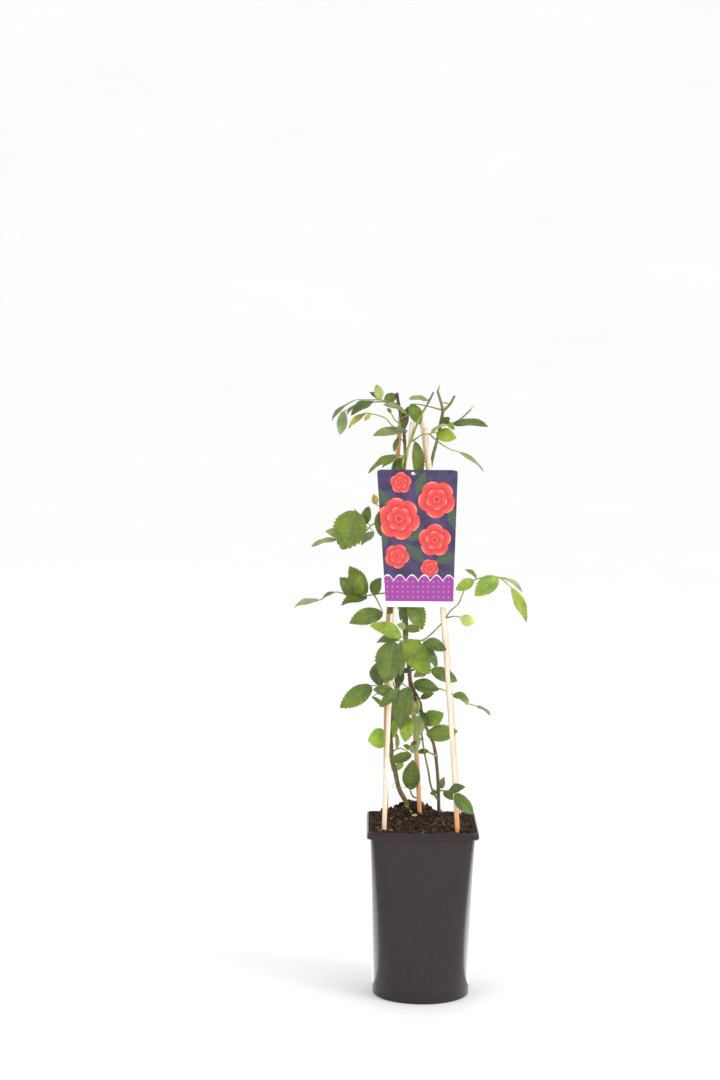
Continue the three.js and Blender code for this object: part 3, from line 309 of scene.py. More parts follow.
RIGHT_WOOD = [
    Twig("right_stem", [
        (21, 25, 221), (20, 22, 259), (18, 18, 286), (15, 14, 308), (11, 8, 322), (1, 0, 342), (-6, -6, 370),
        (-15, -10, 389), (-19, -14, 420), (-23, -14, 445), (-26, -13, 486), (-26, -10, 569), (-25, -6, 657),
        (-27, -3, 702), (-33, -4, 732), (-36, -4, 751),
    ], (2.2, 1.8), [
        GREEN_BARK, BROWN_BARK, BROWN_BARK, RED_BARK, GREEN_BARK, RED_BARK, BROWN_BARK, OLIVE_BARK, RED_BARK,
    ], buried=60, thorns=7),
    Twig("bright_shoot", [
        (-25, -6, 639), (-27, -10, 651), (-28, -16, 661), (-27, -20, 670), (-24, -22, 678), (-20, -22, 688),
        (-16, -20, 699), (-12, -17, 710), (-7, -14, 722), (1, -10, 736), (9, -7, 752),
    ], (1.6, 1.2), [BRIGHT_BARK, BRIGHT_BARK, GREEN_BARK]),
    Twig("thin_shoot", [
        (21, 23, 243), (16, 20, 250), (11, 18, 261), (7, 12, 282), (3, 8, 300), (-1, 0, 325), (-4, -8, 355),
    ], (1.45, 1.0), [GREEN_BARK, BRIGHT_BARK]),
    Twig("old_wood", [(-10, -8, 377), (-8, -7, 367), (-2, -4, 355)], (2.5, 2.2), [RED_BARK, DEAD_BARK]),
]
LEFT_WOOD = [
    Twig("left_stem", [
        (-18, 5, 236), (-29, 0, 258), (-34, -4, 279), (-38, -8, 294), (-40, -12, 313), (-39, -13, 347),
        (-34, -10, 376), (-27, -6, 407), (-22, -5, 445), (-22, -4, 486), (-17, -3, 545), (-5, -3, 607),
        (6, -3, 659), (10, -2, 678), (14, 0, 693), (18, 0, 713), (21, 0, 731),
    ], (3.2, 1.9), [
        OLIVE_BARK, OLIVE_BARK, BROWN_BARK, GREEN_BARK, GREEN_BARK, GREEN_BARK, OLIVE_BARK,
    ], buried=60, thorns=7),
    Twig("thread", [(-32, -2, 268), (-38, -8, 260), (-30, -14, 259), (-14, -16, 260), (5, -12, 259)],
        (0.35, 0.25), [STALK_GREEN]),
    Twig("fork_left", [(21, 0, 729), (18, 0, 740), (14, 0, 753)], (1.7, 1.5), [OLIVE_BARK, GREEN_BARK]),
    Twig("fork_right", [(21, 0, 729), (29, 0, 737), (35, 0, 748)], (1.7, 1.5), [OLIVE_BARK, GREEN_BARK]),
    Twig("fork_cross", [(18, 0, 739), (24, 2, 739), (29, 0, 737)], (0.9, 0.8), [BRIGHT_BARK]),
    Twig("side_twig", [(19, 0, 714), (30, 5, 713), (42, 6, 719), (56, 6, 732)], (1.1, 0.9), [GREEN_BARK]),
    Twig("sprout", [(-21, 5, 237), (-17, -3, 233), (-13, -11, 228)], (1.2, 0.8), [BRIGHT_BARK]),
    Twig("fork_bud", [(14, 0, 752), (15, 0, 756), (17, 0, 761)], (1.6, 0.4), [BRIGHT_BARK]),
    Twig("side_bud", [(55, 6, 731), (57, 6, 734), (59, 6, 737)], (1.5, 0.4), [PALE_BUD]),
]
BASAL_WOOD = [
    Twig("basal_stem", [(2, 12, 238), (-3, 9, 244), (-11, 5, 248), (-15, -9, 257)],
        (1.3, 0.9), [GREEN_BARK, BRIGHT_BARK], buried=30),
]
RIGHT_FRONDS = [
    Frond((-26, -10, 569), heading=88, rise=12, length=75, leaflet=30),
    Frond((1, 0, 342), heading=100, rise=5, length=75, leaflet=27),
]
LEFT_FRONDS = [
    Frond((-5, -3, 607), heading=80, rise=10, length=72, leaflet=30),
    Frond((-34, -10, 376), heading=92, rise=5, length=80, leaflet=27),
]


EYE = np.array([-80.0, -3134.0, 868.0])


def place(points: list[Point] | Array) -> Array:
    """Moves points to their depth along the line of sight.

    A point is read on the upright plane through the pot's axis and given a depth y. It then moves by
    (point - eye) * y / distance of the eye, so that it covers the same spot when seen from in front.

    Args:
        points: One point or rows of points, in millimetres.

    Returns:
        The moved points, in the same layout.
    """
    flat = np.asarray(points, dtype=float)
    reach = flat[..., 1:2] / -EYE[1]
    moved = flat + (flat - EYE) * reach
    moved[..., 1] = flat[..., 1]
    return moved


def unit(vectors: Array) -> Array:
    """Scales vectors to length one along their last axis."""
    return vectors / np.maximum(np.linalg.norm(vectors, axis=-1, keepdims=True), 1e-9)


def circle(count: int) -> Array:
    """Evenly spaced angles of one full turn."""
    return np.linspace(0, FULL_TURN, count, endpoint=False)


def polar(reach: Array | float, angle: Array | float, height: Array | float) -> Array:
    """Points round the upright axis: (reach cos angle, reach sin angle, height)."""
    return np.stack(np.broadcast_arrays(reach * np.cos(angle), reach * np.sin(angle), height), axis=-1)


def sample(rows: Array, run: Array, at: Array) -> Array:
    """Reads rows of three numbers, which stand at places along a run, at other places of it."""
    return np.stack([np.interp(at, run, rows[:, i]) for i in range(3)], axis=1)


def along_stations(stations: list[Colour], count: int) -> Array:
    """Blends evenly spaced colours from foot to top into one for each point of a path."""
    return sample(np.array(stations), np.arange(len(stations)), np.linspace(0, len(stations) - 1, count))


def smooth_path(points: list[Point] | Array, count: int) -> Array:
    """Runs a centripetal spline through the points and spaces it evenly.

    Between two points the curve is a cubic whose end slopes are those of the parabola through three
    neighbours, with the square root of the distance as its parameter.

    Args:
        points: The points to pass through.
        count: How many points to return.

    Returns:
        Points along the curve, at equal steps of its length.
    """
    p = np.asarray(points, dtype=float)
    p = np.vstack([2 * p[0] - p[1], p, 2 * p[-1] - p[-2]])
    gap = np.sqrt(np.linalg.norm(np.diff(p, axis=0), axis=1))[:, None]
    p0, p1, p2, p3 = p[:-3], p[1:-2], p[2:-1], p[3:]
    g0, g1, g2 = gap[:-2], gap[1:-1], gap[2:]
    start = ((p1 - p0) / g0 - (p2 - p0) / (g0 + g1) + (p2 - p1) / g1) * g1
    end = ((p2 - p1) / g1 - (p3 - p1) / (g1 + g2) + (p3 - p2) / g2) * g1
    t = np.linspace(0, 1, 25)[None, :-1, None]
    p1, p2, start, end = p1[:, None], p2[:, None], start[:, None], end[:, None]
    curve = (
        (2 * t**3 - 3 * t**2 + 1) * p1
        + (t**3 - 2 * t**2 + t) * start
        + (-2 * t**3 + 3 * t**2) * p2
        + (t**3 - t**2) * end
    ).reshape(-1, 3)
    curve = np.vstack([curve, p[-2]])
    run = np.concatenate([[0.0], np.cumsum(np.linalg.norm(np.diff(curve, axis=0), axis=1))])
    return sample(curve, run, np.linspace(0, run[-1], count))


@dataclass
class Patch:
    """A stretch of surface: points in millimetres, faces, and what its points carry for the finish.

    Attributes:
        points: Rows of x, y, z.
        faces: Lists of point numbers, anticlockwise seen from outside.
        shade: A linear colour for each point.
        lay: Two surface coordinates for each point.
        side: One number for each point, such as 1 on the hidden face of a leaf.
    """

    points: Array
    faces: list[Array]
    shade: Array
    lay: Array
    side: Array

    @staticmethod
    def join(patches: list[Patch]) -> Patch:
        """Puts patches side by side in one.

        Args:
            patches: The patches.

        Returns:
            One patch that holds them all.
        """
        starts = np.cumsum([0, *(len(patch.points) for patch in patches)])
        faces = [block + start for patch, start in zip(patches, starts) for block in patch.faces]
        points, shade, lay, side = (
            np.concatenate([getattr(patch, name) for patch in patches])
            for name in ("points", "shade", "lay", "side")
        )
        return Patch(points, faces, shade, lay, side)


def grid_faces(rows: int, columns: int, closed: bool) -> Array:
    """Faces of a grid of points, row after row.

    Args:
        rows: Number of rows.
        columns: Number of points in a row.
        closed: True where the last column joins the first.

    Returns:
        Four point numbers for each face.
    """
    across = columns if closed else columns - 1
    r, c = np.meshgrid(np.arange(rows - 1), np.arange(across), indexing="ij")
    here, there = r * columns + c, r * columns + (c + 1) % columns
    return np.stack([here, there, there + columns, here + columns], axis=-1).reshape(-1, 4)


def skin(rings: Array, shade: Array | Colour) -> Patch:
    """Covers rings of points, which run anticlockwise seen from the last one, and closes both ends.

    Args:
        rings: Points as (ring, place in the ring, xyz).
        shade: One colour, or one for each ring.

    Returns:
        The closed skin, whose surface coordinates are the shares round and along.
    """
    count, sides = rings.shape[:2]
    shades = np.repeat(np.broadcast_to(np.asarray(shade, dtype=float), (count, 3)), sides, axis=0)
    along, around = np.meshgrid(np.linspace(0, 1, count), np.linspace(0, 1, sides), indexing="ij")
    lay = np.stack([around, along], axis=-1).reshape(-1, 2)
    here = np.arange(sides)
    after = (here + 1) % sides
    middle, last = np.full(sides, count * sides), (count - 1) * sides
    faces = [
        grid_faces(count, sides, True),
        np.stack([middle, after, here], axis=1),
        np.stack([middle + 1, last + here, last + after], axis=1),
    ]
    points = np.vstack([rings.reshape(-1, 3), rings[0].mean(axis=0), rings[-1].mean(axis=0)])
    shades, lay = (np.vstack([rows, rows[:1], rows[-1:]]) for rows in (shades, lay))
    return Patch(points, faces, shades, lay, np.zeros(len(points)))


def wheel(path: Array, angle: Array, axis: Array | None = None) -> Array:
    """Circles of radius one round a path, square to it.

    Their axes are the cross products of the path's direction with a world axis, so that they never
    turn over.

    Args:
        path: Points along the middle.
        angle: Places round the circles.
        axis: The world axis, or None for the one that the path stays furthest from.

    Returns:
        Directions as (point of the path, place, xyz).
    """
    ahead = unit(np.gradient(path, axis=0))
    if axis is None:
        axis = np.eye(3)[np.argmin(np.abs(ahead).max(axis=0))]
    side = unit(np.cross(axis, ahead))
    over = np.cross(ahead, side)
    return np.cos(angle)[None, :, None] * side[:, None] + np.sin(angle)[None, :, None] * over[:, None]


def rod(path: Array, radius: Array, sides: int, shade: Array | Colour) -> Patch:
    """Carries a circle along a path.

    Args:
        path: Points along the middle.
        radius: The radius at each point.
        sides: Points round the circle.
        shade: One colour, or one for each point of the path.

    Returns:
        The closed rod.
    """
    return skin(path[:, None] + radius[:, None, None] * wheel(path, circle(sides)), shade)


def add_object(name: str, data: bpy.types.ID) -> bpy.types.Object:
    """Adds an object to the scene.

    Args:
        name: Its name.
        data: Its mesh, lamp or camera.

    Returns:
        The object.
    """
    made = bpy.data.objects.new(name, data)
    bpy.context.scene.collection.objects.link(made)
    return made


def add_mesh(name: str, patch: Patch) -> bpy.types.Object:
    """Adds a patch as an object with a mesh in metres.

    Args:
        name: Its name.
        patch: Its surface.

    Returns:
        The object.
    """
    mesh = bpy.data.meshes.new(name)
    mesh.from_pydata((patch.points * MM).tolist(), [], [row for block in patch.faces for row in block.tolist()])
    return add_object(name, mesh)


def make_piece(name: str, patch: Patch, finish: bpy.types.Material, sharp: float) -> bpy.types.Object:
    """Makes a piece from a patch, with its finish, riding on the one body.

    Args:
        name: The piece's name.
        patch: Its surface.
        finish: Its material.
        sharp: Edges that bend by more than this many degrees stay crisp.

    Returns:
        The new object.
    """
    piece = add_mesh(name, patch)
    mesh = piece.data
    corner = np.empty(len(mesh.loops), dtype=np.int64)
    mesh.loops.foreach_get("vertex_index", corner)
    mesh.uv_layers.new(name="lay").data.foreach_set("uv", patch.lay[corner].astype(np.float32).ravel())
    shade = np.column_stack([patch.shade, np.ones(len(patch.shade))]).astype(np.float32)
    mesh.attributes.new("shade", "FLOAT_COLOR", "POINT").data.foreach_set("color", shade.ravel())
    mesh.attributes.new("side", "FLOAT", "POINT").data.foreach_set("value", patch.side.astype(np.float32))
    mesh.polygons.foreach_set("use_smooth", np.ones(len(mesh.polygons), dtype=bool))
    mesh.set_sharp_from_angle(angle=math.radians(sharp))
    mesh.materials.append(finish)
    mesh.validate()
    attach(piece, "root")
    LOG.info("%s: %d points, %d faces", name, len(mesh.vertices), len(mesh.polygons))
    return piece


@dataclass(frozen=True)
class Wire:
    """What a shader socket gives out, as a term of plain arithmetic."""

    graph: Graph
    socket: bpy.types.NodeSocket

    def __add__(self, other: Value) -> Wire:
        """The sum."""
        return self.graph.math("ADD", self, other)

    def __sub__(self, other: Value) -> Wire:
        """The difference."""
        return self.graph.math("SUBTRACT", self, other)

    def __mul__(self, other: Value) -> Wire:
        """The product."""
        return self.graph.math("MULTIPLY", self, other)

    def __truediv__(self, other: Value) -> Wire:
        """The quotient."""
        return self.graph.math("DIVIDE", self, other)

    def __abs__(self) -> Wire:
        """The size without its sign."""
        return self.graph.math("ABSOLUTE", self)


Value = float | Colour | Wire


@dataclass(frozen=True)
class Graph:
    """Adds nodes to a shader tree and joins them."""

    tree: bpy.types.NodeTree
    effects: dict[str, bpy.types.NodeTree] = field(default_factory=dict)

    def put(self, socket: bpy.types.NodeSocket, value: Value) -> None:
        """Joins a socket to a wire, or sets its number or colour.

        Args:
            socket: The socket that takes the value.
            value: The wire, number or colour.
        """
        if isinstance(value, Wire):
            self.tree.links.new(value.socket, socket)
        else:
            socket.default_value = (*value, 1.0) if socket.type == "RGBA" else value

    def node(self, kind: str, values: dict[str | int, Value], output: str | int = 0, **settings: object) -> Wire:
        """Adds a node.

        Args:
            kind: The node's type.
            values: What goes into its sockets, by name or number.
            output: The socket to take from it.
            settings: Properties of the node itself.

        Returns:
            What the socket gives out.
        """
        made = self.tree.nodes.new(kind)
        for key, value in settings.items():
            setattr(made, key, value)
        for key, value in values.items():
            self.put(made.inputs[key], value)
        return Wire(self, made.outputs[output])

    def use(self, effect: str, **values: Value) -> dict[str, Wire]:
        """Places a shared effect.

        Args:
            effect: Its name.
            values: What goes into it, by label.

        Returns:
            What comes out of it, by label.
        """
        made = self.node("ShaderNodeGroup", values, node_tree=self.effects[effect]).socket.node
        return {socket.name: Wire(self, socket) for socket in made.outputs}

    def give(self, *values: Value) -> bpy.types.NodeTree:
        """Ends a shared effect.

        Args:
            values: What comes out of it, in the order of its labels.

        Returns:
            The group.
        """
        for socket, value in zip(self.tree.nodes.new("NodeGroupOutput").inputs, values):
            self.put(socket, value)
        return self.tree

    def math(self, how: str, a: Value, b: Value = 0.0) -> Wire:
        """Works out one number from up to two."""
        return self.node("ShaderNodeMath", {0: a, 1: b}, operation=how)

    def fit(self, value: Value, low: float, high: float, to_low: float = 0.0, to_high: float = 1.0) -> Wire:
        """Carries a number from one range to another along a smooth step, held at both ends."""
        values = {"Value": value, "From Min": low, "From Max": high, "To Min": to_low, "To Max": to_high}
        return self.node("ShaderNodeMapRange", values, interpolation_type="SMOOTHSTEP")

    def mix(self, share: Value, a: Value, b: Value, how: str = "MIX") -> Wire:
        """Mixes two colours by a share."""
        return self.node("ShaderNodeMix", {0: share, 6: a, 7: b}, 2, data_type="RGBA", blend_type=how)

    def noise(self, where: Wire, scale: Value, detail: float = 2.0, rough: float = 0.5) -> Wire:
        """Cloudy noise from 0 to 1."""
        values = {"Vector": where, "Scale": scale, "Detail": detail, "Roughness": rough}
        return self.node("ShaderNodeTexNoise", values)

    def cells(self, where: Wire, scale: float, loose: float = 1.0) -> Wire:
        """Distance to the nearest of many scattered points, which stand in rows where they aren't loose."""
        values = {"Vector": where, "Scale": scale, "Randomness": loose}
        return self.node("ShaderNodeTexVoronoi", values, "Distance")

    def spot(self) -> Wire:
        """Object coordinates, which are the part's own."""
        return self.node("ShaderNodeTexCoord", {}, "Object")

    def lay(self) -> Wire:
        """The two surface coordinates of a piece."""
        return self.node("ShaderNodeUVMap", {}, uv_map="lay")

    def shade(self) -> Wire:
        """The colour that the points of a piece carry."""
        return self.node("ShaderNodeAttribute", {}, "Color", attribute_name="shade")

    def side(self) -> Wire:
        """The number that the points of a piece carry."""
        return self.node("ShaderNodeAttribute", {}, "Fac", attribute_name="side")

    def stretch(self, where: Wire, scale: Point) -> Wire:
        """Scales a vector along its axes."""
        return self.node("ShaderNodeMapping", {"Vector": where, "Scale": scale})

    def parts(self, where: Wire) -> list[Wire]:
        """Splits a vector."""
        return [Wire(self, part) for part in self.node("ShaderNodeSeparateXYZ", {0: where}).socket.node.outputs]

    def parts_from(self, where: Wire, centre: Wire) -> list[Wire]:
        """Splits the vector from one place to another."""
        return self.parts(self.node("ShaderNodeVectorMath", {0: where, 1: centre}, operation="SUBTRACT"))

    def bump(self, height: Value, strength: float, depth: float, **under: Wire) -> Wire:
        """Turns a height into a normal, on top of another Normal where one is given."""
        return self.node("ShaderNodeBump", {"Height": height, "Strength": strength, "Distance": depth, **under})


SOCKET_KINDS = {
    "Colour": "NodeSocketColor", "Where": "NodeSocketVector", "Centre": "NodeSocketVector", "Lay": "NodeSocketVector",
}


def shared(name: str, takes: str, gives: str) -> tuple[Graph, list[Wire]]:
    """Starts a shared effect as a node group.

    Args:
        name: The effect's name.
        takes: Labels of what goes in.
        gives: Labels of what comes out.

    Returns:
        The group's graph, and what goes in, in the order of the labels.
    """
    tree = bpy.data.node_groups.new(name, "ShaderNodeTree")
    for labels, way in ((takes, "INPUT"), (gives, "OUTPUT")):
        for label in labels.split():
            kind = SOCKET_KINDS.get(label, "NodeSocketFloat")
            tree.interface.new_socket(name=label, in_out=way, socket_type=kind)
    g = Graph(tree)
    given = tree.nodes.new("NodeGroupInput").outputs
    return g, [Wire(g, given[label]) for label in takes.split()]


@dataclass
class Effects:
    """The effects that several finishes share, by name."""

    groups: dict[str, bpy.types.NodeTree] = field(init=False)

    def __post_init__(self) -> None:
        """Builds every effect once."""
        makers = (self.mottle, self.grain, self.veins, self.blossom, self.printed_leaf)
        self.groups = {make.__name__: make() for make in makers}

    def mottle(self) -> bpy.types.NodeTree:
        """Uneven colour: broad clouds and fine specks darken or lighten a colour by an amount.

        Returns:
            The group.
        """
        g, (colour, where, scale, amount) = shared("mottle", "Colour Where Scale Amount", "Colour Mask")
        mask = g.noise(where, scale, 3.0) * 0.65 + g.noise(where, scale * 7.0) * 0.35
        factor = (mask - 0.5) * (amount * 4.0) + 1.0
        return g.give(g.node("ShaderNodeVectorMath", {0: colour, "Scale": factor}, operation="SCALE"), mask)

    def grain(self) -> bpy.types.NodeTree:
        """Streaks along the height: noise drawn out upwards, as a height and as a mask.

        Returns:
            The group.
        """
        g, (where, fineness) = shared("grain", "Where Fineness", "Height Streak")
        drawn = g.stretch(where, (1.0, 1.0, 0.045))
        return g.give(g.noise(drawn, fineness, 4.0), g.fit(g.noise(drawn, fineness * 0.22), 0.38, 0.66))

    def veins(self) -> bpy.types.NodeTree:
        """Leaf veins on surface coordinates: a rib in the middle and seven pairs that run forwards.

        Returns:
            The group.
        """
        g, (lay,) = shared("veins", "Lay", "Rib Vein Edge")
        along, across, _ = g.parts(lay)
        off = abs(across * 2.0 - 1.0)
        from_line = abs(g.math("FRACT", (along - off * 0.17) * 7.0) - 0.5)
        vein = g.fit(from_line, 0.0, 0.11, 1.0, 0.0) * g.fit(off, 0.75, 1.0, 1.0, 0.0)
        return g.give(g.fit(off, 0.02, 0.07, 1.0, 0.0), vein, g.fit(off, 0.86, 1.0))

    def blossom(self) -> bpy.types.NodeTree:
        """A printed open flower: scalloped rim, rings of petals that tighten inwards, and an eye.

        Returns:
            The group.
        """
        takes = "Where Centre Radius Petals Turn"
        g, (where, centre, radius, petals, turn) = shared("blossom", takes, "Mask Fold Eye")
        x, y, _ = g.parts_from(where, centre)
        reach = g.math("SQRT", x * x + y * y) / radius
        angle = (g.math("ARCTAN2", y, x) + turn) * (petals * 0.5)
        inside = reach / (g.math("POWER", abs(g.math("COSINE", angle)), 0.5) * 0.2 + 0.8)
        ring = g.math("POWER", inside, 0.7) * 3.0
        petal = abs(g.math("SINE", angle + g.math("FLOOR", ring) * 1.1))
        fold = g.math("FRACT", ring) * (petal * 0.5 + 0.5)
        return g.give(g.fit(inside, 0.97, 1.03, 1.0, 0.0), fold, g.fit(inside, 0.08, 0.2, 1.0, 0.0))

    def printed_leaf(self) -> bpy.types.NodeTree:
        """A printed leaf: a pointed oval with a rib, at a place, a slant and two half sizes.

        Returns:
            The group.
        """
        takes = "Where Centre Slant Long Wide"
        g, (where, centre, slant, long, wide) = shared("printed_leaf", takes, "Mask Shade")
        x, y, _ = g.parts_from(where, centre)
        c, s = g.math("COSINE", slant), g.math("SINE", slant)
        u, off = (x * c + y * s) / long, abs((y * c - x * s) / wide)
        ripple = g.math("SINE", (u - off * 0.4) * 22.0)
        gap = g.math("SUBTRACT", 1.0, u * u) - off
        return g.give(g.fit(gap, 0.0, 0.06), ripple * 0.14 + g.fit(off, 0.03, 0.1, 0.5, 0.0) + 0.45)


@dataclass(frozen=True)
class Finish:
    """A material: its name, and how strongly it mirrors. Each kind gives its own look."""

    name: str
    mirror: float = 0.5

    def look(self, g: Graph) -> tuple[Value, ...]:
        """Works out what the surface shows.

        Args:
            g: The material's graph.

        Returns:
            Its colour, its roughness and, where it has relief, its normal.
        """
        raise NotImplementedError(self.name)

    def build(self, effects: Effects) -> bpy.types.Material:
        """Builds the material.

        Args:
            effects: The shared effects.

        Returns:
            The material.
        """
        material = bpy.data.materials.new(self.name)
        material.use_nodes = True
        g = Graph(material.node_tree, effects.groups)
        surface = material.node_tree.nodes["Principled BSDF"].inputs
        surface["Specular IOR Level"].default_value = self.mirror
        for label, value in zip(("Base Color", "Roughness", "Normal"), self.look(g)):
            g.put(surface[label], value)
        return material


@dataclass(frozen=True)
class LeafFinish(Finish):
    """Waxy rose leaf: veins, mottled green with sunny and shaded clouds, duller on the face turned back."""

    name: str = "rose_leaf"
    mirror: float = 0.4
    gloss: float = 0.4
    sunny: Colour = (1.22, 1.16, 0.72)
    shaded: Colour = (0.74, 0.84, 0.98)
    vein: Colour = paint(176, 192, 104)
    rim: Colour = paint(150, 120, 62)

    def look(self, g: Graph) -> tuple[Value, ...]:
        """Gives its look.

        Args:
            g: The material's graph.

        Returns:
            Its colour, roughness and normal.
        """
        spot = g.spot()
        veins = g.use("veins", Lay=g.lay())
        cloud = g.fit(g.noise(spot, 55.0, 3.0, 0.55), 0.36, 0.64)
        tinted = g.mix(1.0, g.shade(), g.mix(cloud, self.shaded, self.sunny), "MULTIPLY")
        green = g.use("mottle", Colour=tinted, Where=spot, Scale=150.0, Amount=0.22)["Colour"]
        lines = g.math("MAXIMUM", veins["Rib"], veins["Vein"] * 0.45)
        veined = g.mix(lines * 0.42, green, g.mix(0.4, green, self.vein))
        cells = g.noise(spot, 1500.0)
        rough = cells * 0.2 + (self.gloss - 0.1) + g.side() * 0.18
        puckered = g.bump(g.noise(spot, 210.0), 0.5, 0.0016)
        relief = g.bump(cells * 0.25 - lines, 0.55, 0.0003, Normal=puckered)
        return g.mix(veins["Edge"] * 0.2, veined, self.rim), rough, relief


@dataclass(frozen=True)
class BarkFinish(Finish):
    """Smooth young bark with long streaks, small pale pores, and ruddy clouds on old wood."""

    name: str = "rose_bark"
    streak: Colour = (0.62, 0.55, 0.5)
    ruddy: Colour = paint(112, 66, 46)
    pore: Colour = paint(176, 160, 112)

    def look(self, g: Graph) -> tuple[Value, ...]:
        """Gives its look.

        Args:
            g: The material's graph.

        Returns:
            Its colour, roughness and normal.
        """
        spot = g.spot()
        grain = g.use("grain", Where=spot, Fineness=900.0)
        bark = g.use("mottle", Colour=g.shade(), Where=spot, Scale=160.0, Amount=0.4)["Colour"]
        aged = g.fit(g.noise(spot, 75.0), 0.5, 0.62) * g.side()
        streaked = g.mix(
            grain["Streak"] * 0.6, g.mix(aged * 0.7, bark, self.ruddy), g.mix(1.0, bark, self.streak, "MULTIPLY")
        )
        pore = g.fit(g.cells(spot, 420.0), 0.08, 0.16, 0.5, 0.0)
        relief = g.bump(grain["Height"] * 0.5 + pore, 0.5, 0.0003)
        return g.mix(pore, streaked, self.pore), grain["Height"] * 0.25 + 0.36, relief


@dataclass(frozen=True)
class CaneFinish(Finish):
    """Bare split cane: pale faces, tan streaks, warmer and damp just above the compost."""

    name: str = "split_cane"
    pale: Colour = paint(248, 232, 214)
    tan: Colour = paint(218, 180, 146)
    damp: Colour = paint(236, 158, 76)
    damp_from: float = 0.218
    damp_to: float = 0.262

    def look(self, g: Graph) -> tuple[Value, ...]:
        """Gives its look.

        Args:
            g: The material's graph.

        Returns:
            Its colour, roughness and normal.
        """
        spot = g.spot()
        grain = g.use("grain", Where=spot, Fineness=1300.0)
        streak = g.mix(grain["Streak"] * 0.55, self.pale, self.tan)
        fibre = g.mix(g.fit(grain["Height"], 0.45, 0.75), streak, self.tan)
        toned = g.mix(1.0, g.mix(0.45, streak, fibre), g.shade(), "MULTIPLY")
        low = g.fit(g.parts(spot)[2], self.damp_from, self.damp_to, 0.95, 0.0) * g.side()
        return g.mix(low, toned, self.damp), grain["Height"] * 0.3 + 0.42, g.bump(grain["Height"], 0.45, 0.0003)


@dataclass(frozen=True)
class PotFinish(Finish):
    """Charcoal moulded plastic: satin skin, faint drag lines, scuffs and fine dust."""

    name: str = "charcoal_plastic"
    mirror: float = 0.4
    body: Colour = paint(36, 25, 26)
    dust: Colour = paint(70, 61, 58)

    def look(self, g: Graph) -> tuple[Value, ...]:
        """Gives its look.

        Args:
            g: The material's graph.

        Returns:
            Its colour, roughness and normal.
        """
        spot = g.spot()
        grain = g.use("grain", Where=spot, Fineness=420.0)
        plain = g.use("mottle", Colour=self.body, Where=spot, Scale=26.0, Amount=0.08)["Colour"]
        blotch = g.fit(g.noise(g.stretch(spot, (1.0, 1.0, 0.2)), 220.0, 4.0, 0.7), 0.3, 0.8)
        dusty = g.mix(blotch * g.fit(g.parts(spot)[2], 0.0, 0.12, 0.16, 0.06), plain, self.dust)
        scratch = g.fit(g.noise(g.stretch(spot, (1.0, 1.0, 0.12)), 800.0, 1.0), 0.72, 0.8, 0.0, 0.35)
        rough = g.noise(spot, 60.0, 3.0) * 0.08 + 0.16 + blotch * 0.04
        relief = g.bump(g.noise(spot, 2600.0) + grain["Height"] * 0.8, 0.2, 0.00005)
        return g.mix(scratch, dusty, self.dust), rough, relief


@dataclass(frozen=True)
class SoilFinish(Finish):
    """Moist dark compost, with the colour that each crumb carries."""

    name: str = "compost"
    mirror: float = 0.25
    fibre: Colour = paint(104, 78, 54)

    def look(self, g: Graph) -> tuple[Value, ...]:
        """Gives its look.

        Args:
            g: The material's graph.

        Returns:
            Its colour, roughness and normal.
        """
        spot = g.spot()
        dark = g.use("mottle", Colour=g.shade(), Where=spot, Scale=240.0, Amount=0.75)
        fibres = g.fit(g.noise(g.stretch(spot, (1.0, 0.25, 1.0)), 900.0, 3.0), 0.62, 0.72, 0.0, 0.5)
        relief = g.bump(g.noise(spot, 520.0, 4.0, 0.6) + fibres * 0.4, 0.9, 0.0012)
        return g.mix(fibres, dark["Colour"], self.fibre), g.fit(dark["Mask"], 0.3, 0.7, 0.72, 0.95), relief


